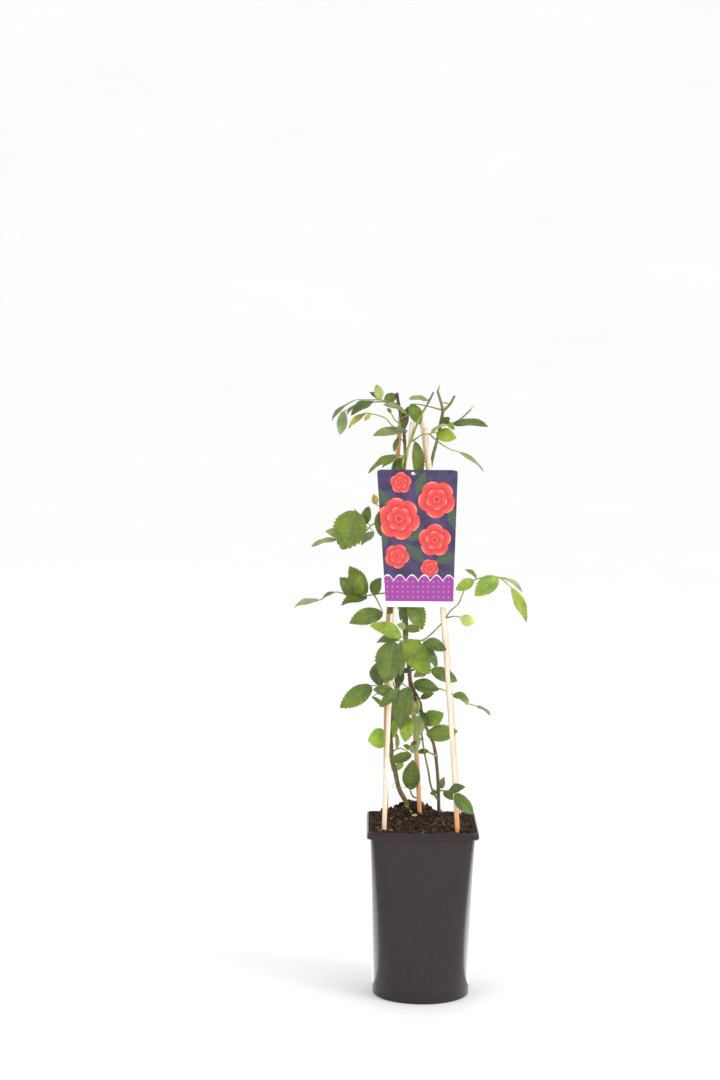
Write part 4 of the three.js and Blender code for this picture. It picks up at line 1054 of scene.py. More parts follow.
@dataclass(frozen=True)
class PrintFinish(Finish):
    """Printed plastic card: open blossoms above a dotted hem with round scallops, blank and pale behind.

    Sizes are millimetres on the card, from its middle across and from its foot upwards.

    Attributes:
        blossoms: Across, up, radius, petals and turn of each printed blossom.
        leaves: Across, up, slant, half length and half width of each printed leaf.
    """

    name: str = "printed_card"
    mirror: float = 0.45
    ground: Colour = paint(74, 62, 98)
    coral: Colour = paint(242, 92, 84)
    deep: Colour = paint(196, 48, 52)
    blush: Colour = paint(252, 160, 142)
    leaf: Colour = paint(84, 104, 84)
    band: Colour = paint(154, 58, 142)
    lilac: Colour = paint(146, 126, 208)
    paper: Colour = paint(236, 234, 244)
    strip_top: float = 7.0
    hem: float = 33.0
    scallop: float = 7.0
    scallop_width: float = 15.0
    blossoms: tuple[tuple[float, ...], ...] = (
        (22.0, 132.0, 23.0, 5.0, 0.4), (-24.0, 108.0, 26.0, 6.0, 1.3), (20.0, 82.0, 20.0, 5.0, 2.2),
        (-26.0, 62.0, 15.0, 5.0, 0.1), (-22.0, 152.0, 13.0, 5.0, 0.9), (14.0, 48.0, 11.0, 5.0, 2.9),
    )
    leaves: tuple[tuple[float, ...], ...] = (
        (2.0, 152.0, 1.2, 15.0, 6.5), (44.0, 108.0, 1.9, 17.0, 8.0), (-2.0, 88.0, 0.5, 14.0, 6.0),
        (-44.0, 84.0, 1.4, 15.0, 7.0), (-4.0, 66.0, 2.4, 16.0, 7.0), (34.0, 60.0, 0.3, 15.0, 7.0),
        (-42.0, 132.0, 2.0, 14.0, 6.0),
    )

    def picture(self, g: Graph, where: Wire) -> Wire:
        """Lays the leaves and then the blossoms on the clouded ground.

        Args:
            g: The material's graph.
            where: The place on the card.

        Returns:
            The picture's colour.
        """
        clouds = g.fit(g.noise(where, 0.06), 0.35, 0.65)
        picture = g.mix(clouds, self.ground, tuple(np.multiply(self.ground, (0.5, 0.5, 0.6))))
        for x, y, slant, long, wide in self.leaves:
            leaf = g.use("printed_leaf", Where=where, Centre=(x, y, 0.0), Slant=slant, Long=long, Wide=wide)
            shaded = g.mix(leaf["Shade"], tuple(np.multiply(self.leaf, 0.35)), self.leaf)
            picture = g.mix(leaf["Mask"], picture, shaded)
        for x, y, radius, petals, turn in self.blossoms:
            flower = g.use("blossom", Where=where, Centre=(x, y, 0.0), Radius=radius, Petals=petals, Turn=turn)
            folded = g.mix(flower["Fold"], self.deep, self.coral)
            lit = g.mix(g.fit(flower["Fold"], 0.7, 1.0, 0.0, 0.8), folded, self.blush)
            picture = g.mix(flower["Mask"], picture, g.mix(flower["Eye"], lit, self.deep))
        return picture

    def look(self, g: Graph) -> tuple[Value, ...]:
        """Gives its look.

        Args:
            g: The material's graph.

        Returns:
            Its colour, roughness and normal.
        """
        where = g.lay()
        across, up, _ = g.parts(where)
        arch = abs(g.math("SINE", across * (math.pi / self.scallop_width)))
        over = up - (arch * self.scallop + self.hem)
        band = g.mix(g.fit(g.cells(where, 0.16, 0.0), 0.16, 0.2, 1.0, 0.0), self.band, self.lilac)
        trimmed = g.mix(g.fit(over, -1.6, -1.2), band, self.paper)
        low = g.mix(g.math("GREATER_THAN", up, self.strip_top), self.paper, trimmed)
        front = g.mix(g.fit(over, -0.1, 0.1), low, self.picture(g, where))
        sheet = g.mix(g.side(), self.paper, front)
        speck = g.use("mottle", Colour=sheet, Where=where, Scale=0.9, Amount=0.12)["Colour"]
        return speck, g.noise(where, 0.3, 3.0) * 0.14 + 0.3, g.bump(g.noise(where, 0.05), 0.25, 0.0006)


@dataclass(frozen=True)
class FloorFinish(Finish):
    """Plain pale studio floor."""

    name: str = "studio_floor"
    white: Colour = paint(254, 254, 254)
    rough: float = 0.7

    def look(self, g: Graph) -> tuple[Value, ...]:
        """Gives its colour and roughness."""
        return g.use("mottle", Colour=self.white, Where=g.spot(), Scale=0.8, Amount=0.015)["Colour"], self.rough


def square_reach(angle: Array, half: Array, corner: Array) -> Array:
    """Distance from the middle of a square with round corners to its edge.

    On the flats it is half / cos; on a corner it is the far crossing of the ray with the corner's
    circle.

    Args:
        angle: Directions of the rays.
        half: Half the square's side.
        corner: Radius of its corners.

    Returns:
        The distances.
    """
    c, s = np.abs(np.cos(angle)), np.abs(np.sin(angle))
    long, short = np.maximum(c, s), np.minimum(c, s)
    flat = half - corner
    along = flat * (long + short)
    on_corner = along + np.sqrt(np.maximum(along * along - 2 * flat * flat + corner * corner, 0.0))
    return np.where(half * short / long <= flat, half / long, on_corner)


@dataclass
class NurseryPot:
    """Pot with a round foot that turns square towards its turned-out lip."""

    height: float = 216.0
    lip_half: float = 69.1
    lip_height: float = 8.5
    overhang: float = 4.5
    lip_corner: float = 9.0
    lip_lean: float = 0.8
    lip_wall: float = 2.2
    ledge: float = 2.0
    foot: float = 60.0
    wall: float = 1.8
    floor: float = 2.4
    drain: float = 5.0
    drain_circle: float = 38.0
    drains: int = 4
    around: int = 240
    side_rings: int = 72
    inner_rings: int = 24
    plug_sides: int = 28
    corner_pull: float = 0.12
    foot_bead: float = 0.35
    sharp: float = 50.0

    def ledge_level(self) -> float:
        """Height of the ledge inside the lip."""
        return self.height - self.lip_height + self.ledge

    def squares(self, half: Array, corner: Array, z: Array) -> Array:
        """Rings round squares with round corners, whose points are drawn together at the corners.

        Args:
            half: Half the side of each square.
            corner: Radius of its corners.
            z: Its height.

        Returns:
            Points as (ring, place, xyz).
        """
        even = circle(self.around)
        angle = (even + self.corner_pull * np.sin(4 * even))[None, :]
        return polar(square_reach(angle, half[:, None], corner[:, None]), angle, z[:, None])

    def ring(self, z: Array, inset: Array) -> Array:
        """Rings of the wall: a round-cornered square whose size and corners blend from foot to lip.

        Args:
            z: Height of each ring.
            inset: How far each ring lies inside the outer face.

        Returns:
            Points as (ring, place, xyz).
        """
        rise = z / self.height
        half = self.foot + (self.lip_half - self.overhang - self.foot) * rise - inset
        return self.squares(half, self.foot + (self.lip_corner - self.foot) * rise - inset, z)

    def lip_ring(self, z: Array, inset: Array) -> Array:
        """Rings of the lip: one round-cornered square, drawn in by the inset.

        Args:
            z: Height of each ring.
            inset: How far each ring lies inside the lip's face.

        Returns:
            Points as (ring, place, xyz).
        """
        return self.squares(self.lip_half - inset, self.lip_corner - np.minimum(inset, 4.0), z)

    def build(self, effects: Effects) -> None:
        """Builds the pot as one skin from the middle of its underside round to the middle of its floor.

        Args:
            effects: The shared effects.
        """
        lip_foot, top = self.height - self.lip_height, self.lip_height
        lean, inside, level = self.lip_lean, self.lip_lean + self.lip_wall, self.ledge_level()
        side_z = np.linspace(2.4, lip_foot - 0.5, self.side_rings)
        edge = np.array([0.0, 0.0, 0.5, 1.3, 4.0, top - 1.0, top - 0.25, top, top, top - 0.3, top - 1.1])
        inset = np.array([
            self.overhang - 0.2, 0.6, 0.1, 0.0, 0.35, lean, lean + 0.25, lean + 0.7,
            inside - 0.7, inside - 0.2, inside,
        ])
        inner_z = np.linspace(level - 4.0, self.floor + 2.0, self.inner_rings)
        rings = [
            self.ring(np.array([0.0, 0.0, 0.35, 1.2]), np.array([6.0, 1.4, 0.5, 0.0])),
            self.ring(side_z, self.foot_bead * np.exp(-(((side_z - 6.0) / 1.2) ** 2))),
            self.lip_ring(lip_foot + edge, inset),
            self.lip_ring(np.array([level + 0.5, level]), np.array([inside, inside + 0.4])),
            self.ring(np.array([level, level - 0.8]), np.array([self.wall - 0.5, self.wall])),
            self.ring(inner_z, np.full(self.inner_rings, self.wall)),
            self.ring(np.full(2, self.floor), np.array([self.wall + 0.8, self.wall + 8.0])),
        ]
        patch = skin(np.concatenate(rings), WHITE)
        pot = make_piece("nursery_pot", patch, PotFinish().build(effects), sharp=self.sharp)
        self.drill(pot)
        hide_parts("pot")

    def drill(self, pot: bpy.types.Object) -> None:
        """Cuts the drain holes through the floor.

        Args:
            pot: The pot to cut.
        """
        heights = np.array([-3.0, self.floor + 3.0])
        turns = (np.arange(self.drains) + 0.5) * FULL_TURN / self.drains
        radius = np.full(2, self.drain)
        plugs = [rod(polar(self.drain_circle, turn, heights), radius, self.plug_sides, WHITE) for turn in turns]
        cutter = add_mesh("drain_plugs", Patch.join(plugs))
        cut = pot.modifiers.new("drains", "BOOLEAN")
        cut.operation, cut.object, cut.solver = "DIFFERENCE", cutter, "EXACT"
        depsgraph = bpy.context.evaluated_depsgraph_get()
        drilled = bpy.data.meshes.new_from_object(pot.evaluated_get(depsgraph), depsgraph=depsgraph)
        pot.modifiers.clear()
        pot.data = drilled
        drilled.set_sharp_from_angle(angle=math.radians(self.sharp))
        bpy.data.objects.remove(cutter, do_unlink=True)


@dataclass
class Compost:
    """The filling of the pot: a clodded surface with a mound, crumbs, fibres and chips on it."""

    pot: NurseryPot
    level: float = 214.0
    gap: float = 0.5
    mound_height: float = 23.0
    mound: tuple[float, float] = (-12.0, 18.0)
    spread: tuple[float, float] = (22.0, 24.0)
    wall_rings: int = 24
    top_rings: int = 92
    clods: int = 560
    clod_reach: float = 62.0
    clod_sizes: tuple[float, float] = (1.6, 6.0)
    clod_rises: tuple[float, float] = (0.3, 1.1)
    clod_share: float = 0.55
    wave: float = 0.9
    crumbs: int = 1100
    crumb_reach: float = 61.0
    crumb_lumps: float = 0.25
    fibres: int = 170
    fibre_reach: float = 52.0
    fibre_limit: float = 58.0
    chips: int = 34
    chip_reach: float = 58.0
    chip_lengths: tuple[float, float] = (3.0, 7.5)
    pale_chip: tuple[float, float] = (-9.5, -12.0)
    pale_chip_heading: float = -0.2
    pale_chip_length: float = 7.0
    seed: int = 11
    soil: Colour = paint(50, 36, 27)
    crumb: Colour = paint(58, 43, 32)
    fibre: Colour = paint(118, 92, 66)
    chip: Colour = paint(140, 108, 74)
    fresh_chip: Colour = paint(232, 214, 176)

    def __post_init__(self) -> None:
        """Draws the clods' places and sizes once, from a fixed seed."""
        self.rng = np.random.default_rng(self.seed)
        self.clod_at = self.rng.uniform(-self.clod_reach, self.clod_reach, (self.clods, 2))
        self.clod_size = self.rng.uniform(*self.clod_sizes, self.clods)
        self.clod_rise = self.rng.uniform(*self.clod_rises, self.clods)

    def height(self, x: Array, y: Array) -> Array:
        """Height of the surface: level, plus a bell-shaped mound, waves, and the highest clod's cap.

        Args:
            x: Across.
            y: Away.

        Returns:
            Heights, with the same shape.
        """
        across, away = (x - self.mound[0]) / self.spread[0], (y - self.mound[1]) / self.spread[1]
        bell = self.mound_height * np.exp(-(across**2 + away**2) / 2)
        wave = np.sin(0.31 * x + 1.3) * np.sin(0.27 * y + 0.4) + 0.8 * np.sin(0.83 * x + 0.61 * y)
        flat = np.stack([x.ravel(), y.ravel()], axis=1)
        cap = np.zeros(len(flat))
        for part in np.array_split(np.arange(self.clods), 20):
            gap = np.linalg.norm(flat[:, None] - self.clod_at[None, part], axis=2)
            dome = np.sqrt(np.maximum(1 - (gap / self.clod_size[part]) ** 2, 0)) * self.clod_size[part]
            cap = np.maximum(cap, (dome * self.clod_rise[part] * self.clod_share).max(axis=1))
        wall = np.maximum(np.abs(x), np.abs(y)) / (self.pot.lip_half - self.pot.lip_wall - 1.0)
        hold = 1 - np.clip(wall, 0, 1) ** 10
        return self.level + bell + self.wave * wave * hold + (cap.reshape(x.shape) - 0.7) * hold

    def build(self, effects: Effects) -> None:
        """Builds the body of compost and the loose matter on it.

        Args:
            effects: The shared effects.
        """
        finish = SoilFinish().build(effects)
        ledge = self.pot.ledge_level() + self.gap
        within = self.pot.lip_lean + self.pot.lip_wall + self.gap
        wall_z = np.linspace(self.pot.floor + 0.5, ledge, self.wall_rings)
        wall = self.pot.ring(wall_z, np.full(self.wall_rings, self.pot.wall + self.gap))
        rim = self.pot.lip_ring(np.array([ledge, ledge + 1.0, self.level - 1.5]), np.full(3, within))
        edge = self.pot.lip_ring(np.array([self.level - 1.0]), np.array([within]))
        share = np.linspace(1.0, 0.0, self.top_rings, endpoint=False)[:, None]
        x, y = edge[..., 0] * share, edge[..., 1] * share
        rings = np.concatenate([wall, rim, np.stack([x, y, self.height(x, y)], axis=-1)])
        body = make_piece("compost_body", skin(rings, self.soil), finish, sharp=70.0)
        patches = [*self.loose_crumbs(), *self.loose_fibres(), *self.loose_chips()]
        loose = make_piece("compost_crumbs", Patch.join(patches), finish, sharp=40.0)
        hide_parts("soil")
        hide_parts("soil")

    def scatter(self, count: int, reach: float) -> tuple[Array, Array]:
        """Draws x and y of places on the surface, in a square of that half width."""
        return self.rng.uniform(-reach, reach, count), self.rng.uniform(-reach, reach, count)

    def loose_crumbs(self) -> list[Patch]:
        """Crumbs: squashed beads of three rings, each with its own size, turn and colour.

        Returns:
            One patch for each crumb.
        """
        x, y = self.scatter(self.crumbs, self.crumb_reach)
        z = self.height(x, y)
        size = self.rng.gamma(3.0, 0.42, self.crumbs) + 0.5
        tone = np.exp(self.rng.normal(0.0, 0.6, self.crumbs)).clip(0.25, 3.2)
        ball = polar(np.array([[0.6], [1.0], [0.55]]), circle(6), np.array([[-0.55], [0.1], [0.65]]))
        patches = []
        for i in range(self.crumbs):
            lumpy = ball * (1 + self.rng.uniform(-self.crumb_lumps, self.crumb_lumps, (3, 6, 1)))
            spin, _ = np.linalg.qr(self.rng.normal(size=(3, 3)))
            spin *= np.sign(np.linalg.det(spin))
            rings = lumpy * size[i] @ spin.T + np.array([x[i], y[i], z[i] + 0.35 * size[i]])
            patches.append(skin(rings, np.array(self.crumb) * tone[i]))
        return patches

    def loose_fibres(self) -> list[Patch]:
        """Fibres: thin bent rods that lie on the surface, light brown to dark.

        Returns:
            One patch for each fibre.
        """
        x, y = self.scatter(self.fibres, self.fibre_reach)
        heading = self.rng.uniform(0, FULL_TURN, self.fibres)
        length = self.rng.gamma(3.0, 2.4, self.fibres) + 3.0
        bend = self.rng.uniform(-0.9, 0.9, self.fibres)
        tone = self.rng.uniform(0.3, 1.0, self.fibres)
        t = np.linspace(-0.5, 0.5, 6)
        patches = []
        for i in range(self.fibres):
            way = heading[i] + bend[i] * t
            px, py = x[i] + length[i] * t * np.cos(way), y[i] + length[i] * t * np.sin(way)
            px, py = np.clip(np.stack([px, py]), -self.fibre_limit, self.fibre_limit)
            lift = 0.5 + 1.6 * self.rng.random() * (0.25 - t**2) * 4
            path = np.stack([px, py, self.height(px, py) + lift], axis=1)
            path += np.stack([1e-3 * t, 1e-3 * t, 0 * t], axis=1)
            patches.append(rod(path, np.full(6, 0.25 + 0.2 * tone[i]), 4, np.array(self.fibre) * tone[i]))
        return patches

    def loose_chips(self) -> list[Patch]:
        """Chips of bark and wood: short spindles that taper to both ends, the first one pale, on the mound.

        Returns:
            One patch for each chip.
        """
        x, y = self.scatter(self.chips, self.chip_reach)
        x[0], y[0] = self.pale_chip
        heading = self.rng.uniform(0, math.pi, self.chips)
        length = self.rng.uniform(*self.chip_lengths, self.chips)
        heading[0], length[0] = self.pale_chip_heading, self.pale_chip_length
        tone = self.rng.uniform(0.35, 1.1, self.chips)
        t = np.linspace(-0.5, 0.5, 7)
        patches = []
        for i in range(self.chips):
            px, py = x[i] + length[i] * t * math.cos(heading[i]), y[i] + length[i] * t * math.sin(heading[i])
            path = np.stack([px, py, self.height(px, py).max() + 0.5 + 0.6 * t], axis=1)
            colour = self.fresh_chip if i == 0 else np.array(self.chip) * tone[i]
            patches.append(rod(path, 0.3 + length[i] * 0.17 * (1 - 4 * t * t), 6, colour))
        return patches


@dataclass(frozen=True)
class Cane:
    """One cane: its node, foot at the compost, top, how far it bows sideways, and how damp its foot is."""

    node: str
    foot: Point
    top: Point
    bow: float
    seed: int
    damp: float
    tint: Colour = WHITE


# A darker, browner tint for the back-left and centre canes; on the centre cane, which stands among the leaves, it is
# painted shade of the leaves.
BROWNER_CANE = paint(228, 190, 146)


@dataclass
class Canes:
    """The canes that the rose is trained on."""

    radius: float = 3.0
    buried: float = 45.0
    sides: int = 20
    rings: int = 120
    steps: int = 7
    chamfer: tuple[float, float] = (0.3, 0.5)
    pinch: tuple[float, float] = (0.8, 0.72)
    uneven: float = 0.018
    facet: float = 0.055
    end_shade: float = 0.8
    # Tan laid on the left side of each cane, away from the key lamp: partly the outer skin of the split cane, partly
    # painted shade.
    rind_and_shade: Colour = paint(196, 150, 118)
    canes: tuple[Cane, ...] = (
        Cane("cane_front_left", (-47.7, -50, 213), (-17, -13, 715), -5.2, 1, 0.3),
        Cane("cane_front_right", (42.6, -50, 213), (-1, -13.5, 708), 3.2, 2, 1.0),
        Cane("cane_back_left", (-44, 48, 213), (-30.4, 8, 727), -6.6, 3, 0.4, BROWNER_CANE),
        Cane("cane_back_right", (48.2, 48, 213), (-6, 8, 724), 5.6, 4, 0.4),
        Cane("cane_centre", (-2.4, -5, 213), (-19.9, 6, 426), 2.1, 5, 0.7, BROWNER_CANE),
    )

    def route(self, cane: Cane) -> Array:
        """Middle line: a straight line plus a sideways parabola, with its ends drawn out for the chamfers.

        Args:
            cane: The cane.

        Returns:
            Points from the buried end to the top.
        """
        foot, top = np.array(cane.foot), np.array(cane.top)
        share = np.linspace(0, 1, self.steps + 1)[:, None]
        points = foot + (top - foot) * share + 4 * cane.bow * share * (1 - share) * X_AXIS
        below = points[0] + unit(points[0] - points[1]) * self.buried
        path = smooth_path(np.vstack([below, points]), self.rings)
        path = np.vstack([path[:1], path, path[-1:]])
        path[0] += unit(path[1] - path[2]) * self.chamfer[0]
        path[-1] += unit(path[-2] - path[-3]) * self.chamfer[1]
        return path

    def build(self, effects: Effects) -> None:
        """Builds each cane: a six-sided split section with soft edges, a little uneven, chamfered ends.

        Args:
            effects: The shared effects.
        """
        finish = CaneFinish().build(effects)
        angle = circle(self.sides)
        # The left side of each ring takes the tan of rind and painted shade.
        rind_and_shade = 1 - np.clip(-np.cos(angle + 0.35) - 0.25, 0, 1)[None, :, None] * (1 - np.array(self.rind_and_shade))
        for cane in self.canes:
            rng = np.random.default_rng(cane.seed)
            path = self.route(cane)
            share = np.linspace(0, 1, len(path))
            uneven = sum(rng.uniform(0.2, 1) * np.sin(share * k * 3.1 + rng.uniform(0, 6)) for k in (2, 5, 9))
            girth = self.radius * (1 + self.uneven * uneven)
            girth[[0, -1]] *= self.pinch
            facet = 1 - self.facet * np.abs(np.sin(3 * (angle + rng.uniform(0, 1)))) ** 1.5
            reach = girth[:, None] * facet[None, :]
            rings = path[:, None] + reach[..., None] * wheel(path, angle, Y_AXIS)
            tint = np.ones((len(path), 3)) * rng.uniform(0.93, 1.0) * np.array(cane.tint)
            tint[-2:] *= self.end_shade
            patch = skin(rings, tint)
            patch.shade[:-2] *= np.broadcast_to(rind_and_shade, rings.shape).reshape(-1, 3)
            patch.side[:] = cane.damp
            piece = make_piece(cane.node + "_split", patch, finish, sharp=38.0)
            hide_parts(cane.node)


@dataclass
class PictureCard:
    """The card on the canes: a thin bent sheet, wider at its top, with a hanging slot.

    Attributes:
        slope: How far the card and the canes behind it lean back, as depth over height.
        cane_foot: Depth and height of the front canes' feet.
        slot: Middle of the slot across and below the top, and its length and height.
    """

    height: float = 168.0
    top_width: float = 99.0
    foot_width: float = 82.0
    corner: float = 4.0
    thickness: float = 0.8
    middle: tuple[float, float] = (-8.5, 574.0)
    shift: float = 4.0
    slope: float = 37.0 / 502.0
    cane_foot: tuple[float, float] = (-50, 213)
    off_canes: float = 3.3
    slot: tuple[float, float, float, float] = (-4.5, 4.5, 10.0, 3.4)
    around: int = 144
    bands: int = 16
    bow: float = 1.1
    ripple: float = 0.35

    def corners(self) -> Array:
        """The four corners before they are rounded, from the lower left one anticlockwise."""
        low, high, nudge, half = self.foot_width / 2, self.top_width / 2, self.shift / 2, self.height / 2
        return np.array([[-low + nudge, -half], [low + nudge, -half], [high - nudge, half], [-high - nudge, half]])

    def outline(self, angle: Array, hub: Array) -> Array:
        """Where rays from the slot meet the edge.

        A ray's reach is the least of its reaches to the four sides; near a corner its end is drawn
        onto the corner's circle.

        Args:
            angle: Directions of the rays.
            hub: Where they start.

        Returns:
            Points on the edge.
        """
        corners = self.corners()
        after, before = np.roll(corners, -1, axis=0), np.roll(corners, 1, axis=0)
        normal = np.stack([(after - corners)[:, 1], -(after - corners)[:, 0]], axis=1)
        normal /= np.linalg.norm(normal, axis=1, keepdims=True)
        ray = np.stack([np.cos(angle), np.sin(angle)], axis=1)
        toward = ray @ normal.T
        gap = ((corners - hub) * normal).sum(axis=1)[None, :]
        reach = np.where(toward > 1e-6, gap / np.maximum(toward, 1e-6), 1e6).min(axis=1)
        point = hub + ray * reach[:, None]
        inner = corners - self.corner * (unit(corners - after) + unit(corners - before))
        for k in range(4):
            gap_to = point - inner[k]
            far = np.linalg.norm(gap_to, axis=1)
            toward_corner = (gap_to @ unit(corners[k] - inner[k])) / np.maximum(far, 1e-6) > 0.72
            round_off = toward_corner & (far > self.corner) & (far < 1.6 * self.corner)
            point = np.where(round_off[:, None], inner[k] + gap_to / far[:, None] * self.corner, point)
        return point

    def sheet(self) -> Array:
        """The card laid flat: rings between slot and edge, with more points at the corners.

        Returns:
            Points as (ring, place, xy) from the card's middle.
        """
        across, drop, wide, high = self.slot
        hub = np.array([across, self.height / 2 - drop])
        targets = self.corners() - hub
        toward = np.arctan2(targets[:, 1], targets[:, 0])
        extra = (toward[:, None] + np.linspace(-0.05, 0.05, 9)[None, :]).ravel()
        angle = np.sort(np.concatenate([circle(self.around), extra % FULL_TURN]))
        outer = self.outline(angle, hub)
        flat = wide / 2 - high / 2
        ray = np.stack([np.cos(angle), np.sin(angle)], axis=1)
        along = np.clip(ray[:, 0] * wide, -flat, flat)
        inner = hub + np.stack([along, np.zeros(len(angle))], axis=1) + ray * high / 2
        share = (np.linspace(0, 1, self.bands) ** 1.6)[:, None, None]
        return inner[None] + (outer - inner)[None] * share

    def build(self, effects: Effects) -> None:
        """Builds the card: front and back, a little bowed, closed at both rims, leaning on the canes.

        Args:
            effects: The shared effects.
        """
        sheet = self.sheet()
        rows, columns = sheet.shape[:2]
        face = sheet.reshape(-1, 2)
        count = len(face)
        bow = self.bow * (face[:, 0] / 50.0) ** 2 + self.ripple * np.sin(face[:, 1] / 30.0 + 0.6)
        lean = math.atan(self.slope)
        up = np.array([0.0, math.sin(lean), math.cos(lean)])
        out = np.array([0.0, -math.cos(lean), math.sin(lean)])
        cane_y = self.cane_foot[0] + (self.middle[1] - self.cane_foot[1]) * self.slope
        origin = np.array([self.middle[0], cane_y - self.off_canes / math.cos(lean), self.middle[1]])
        back = origin + face[:, :1] * X_AXIS + face[:, 1:] * up + (bow - bow.min())[:, None] * out
        faces = grid_faces(rows, columns, True)
        ring = np.arange(columns)
        after = (ring + 1) % columns
        last = (rows - 1) * columns
        rim_out = np.stack([last + ring, last + after, count + last + after, count + last + ring], axis=1)
        rim_in = np.stack([ring, count + ring, count + after, after], axis=1)
        lay = np.stack([face[:, 0], face[:, 1] + self.height / 2], axis=1)
        patch = Patch(
            np.vstack([back + self.thickness * out, back]),
            [faces[:, ::-1], faces + count, rim_out, rim_in],
            np.ones((2 * count, 3)),
            np.vstack([lay, lay]),
            np.repeat([1.0, 0.0], count),
        )
        card = make_piece("picture_card", patch, PrintFinish().build(effects), sharp=30.0)
        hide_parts("label_card")


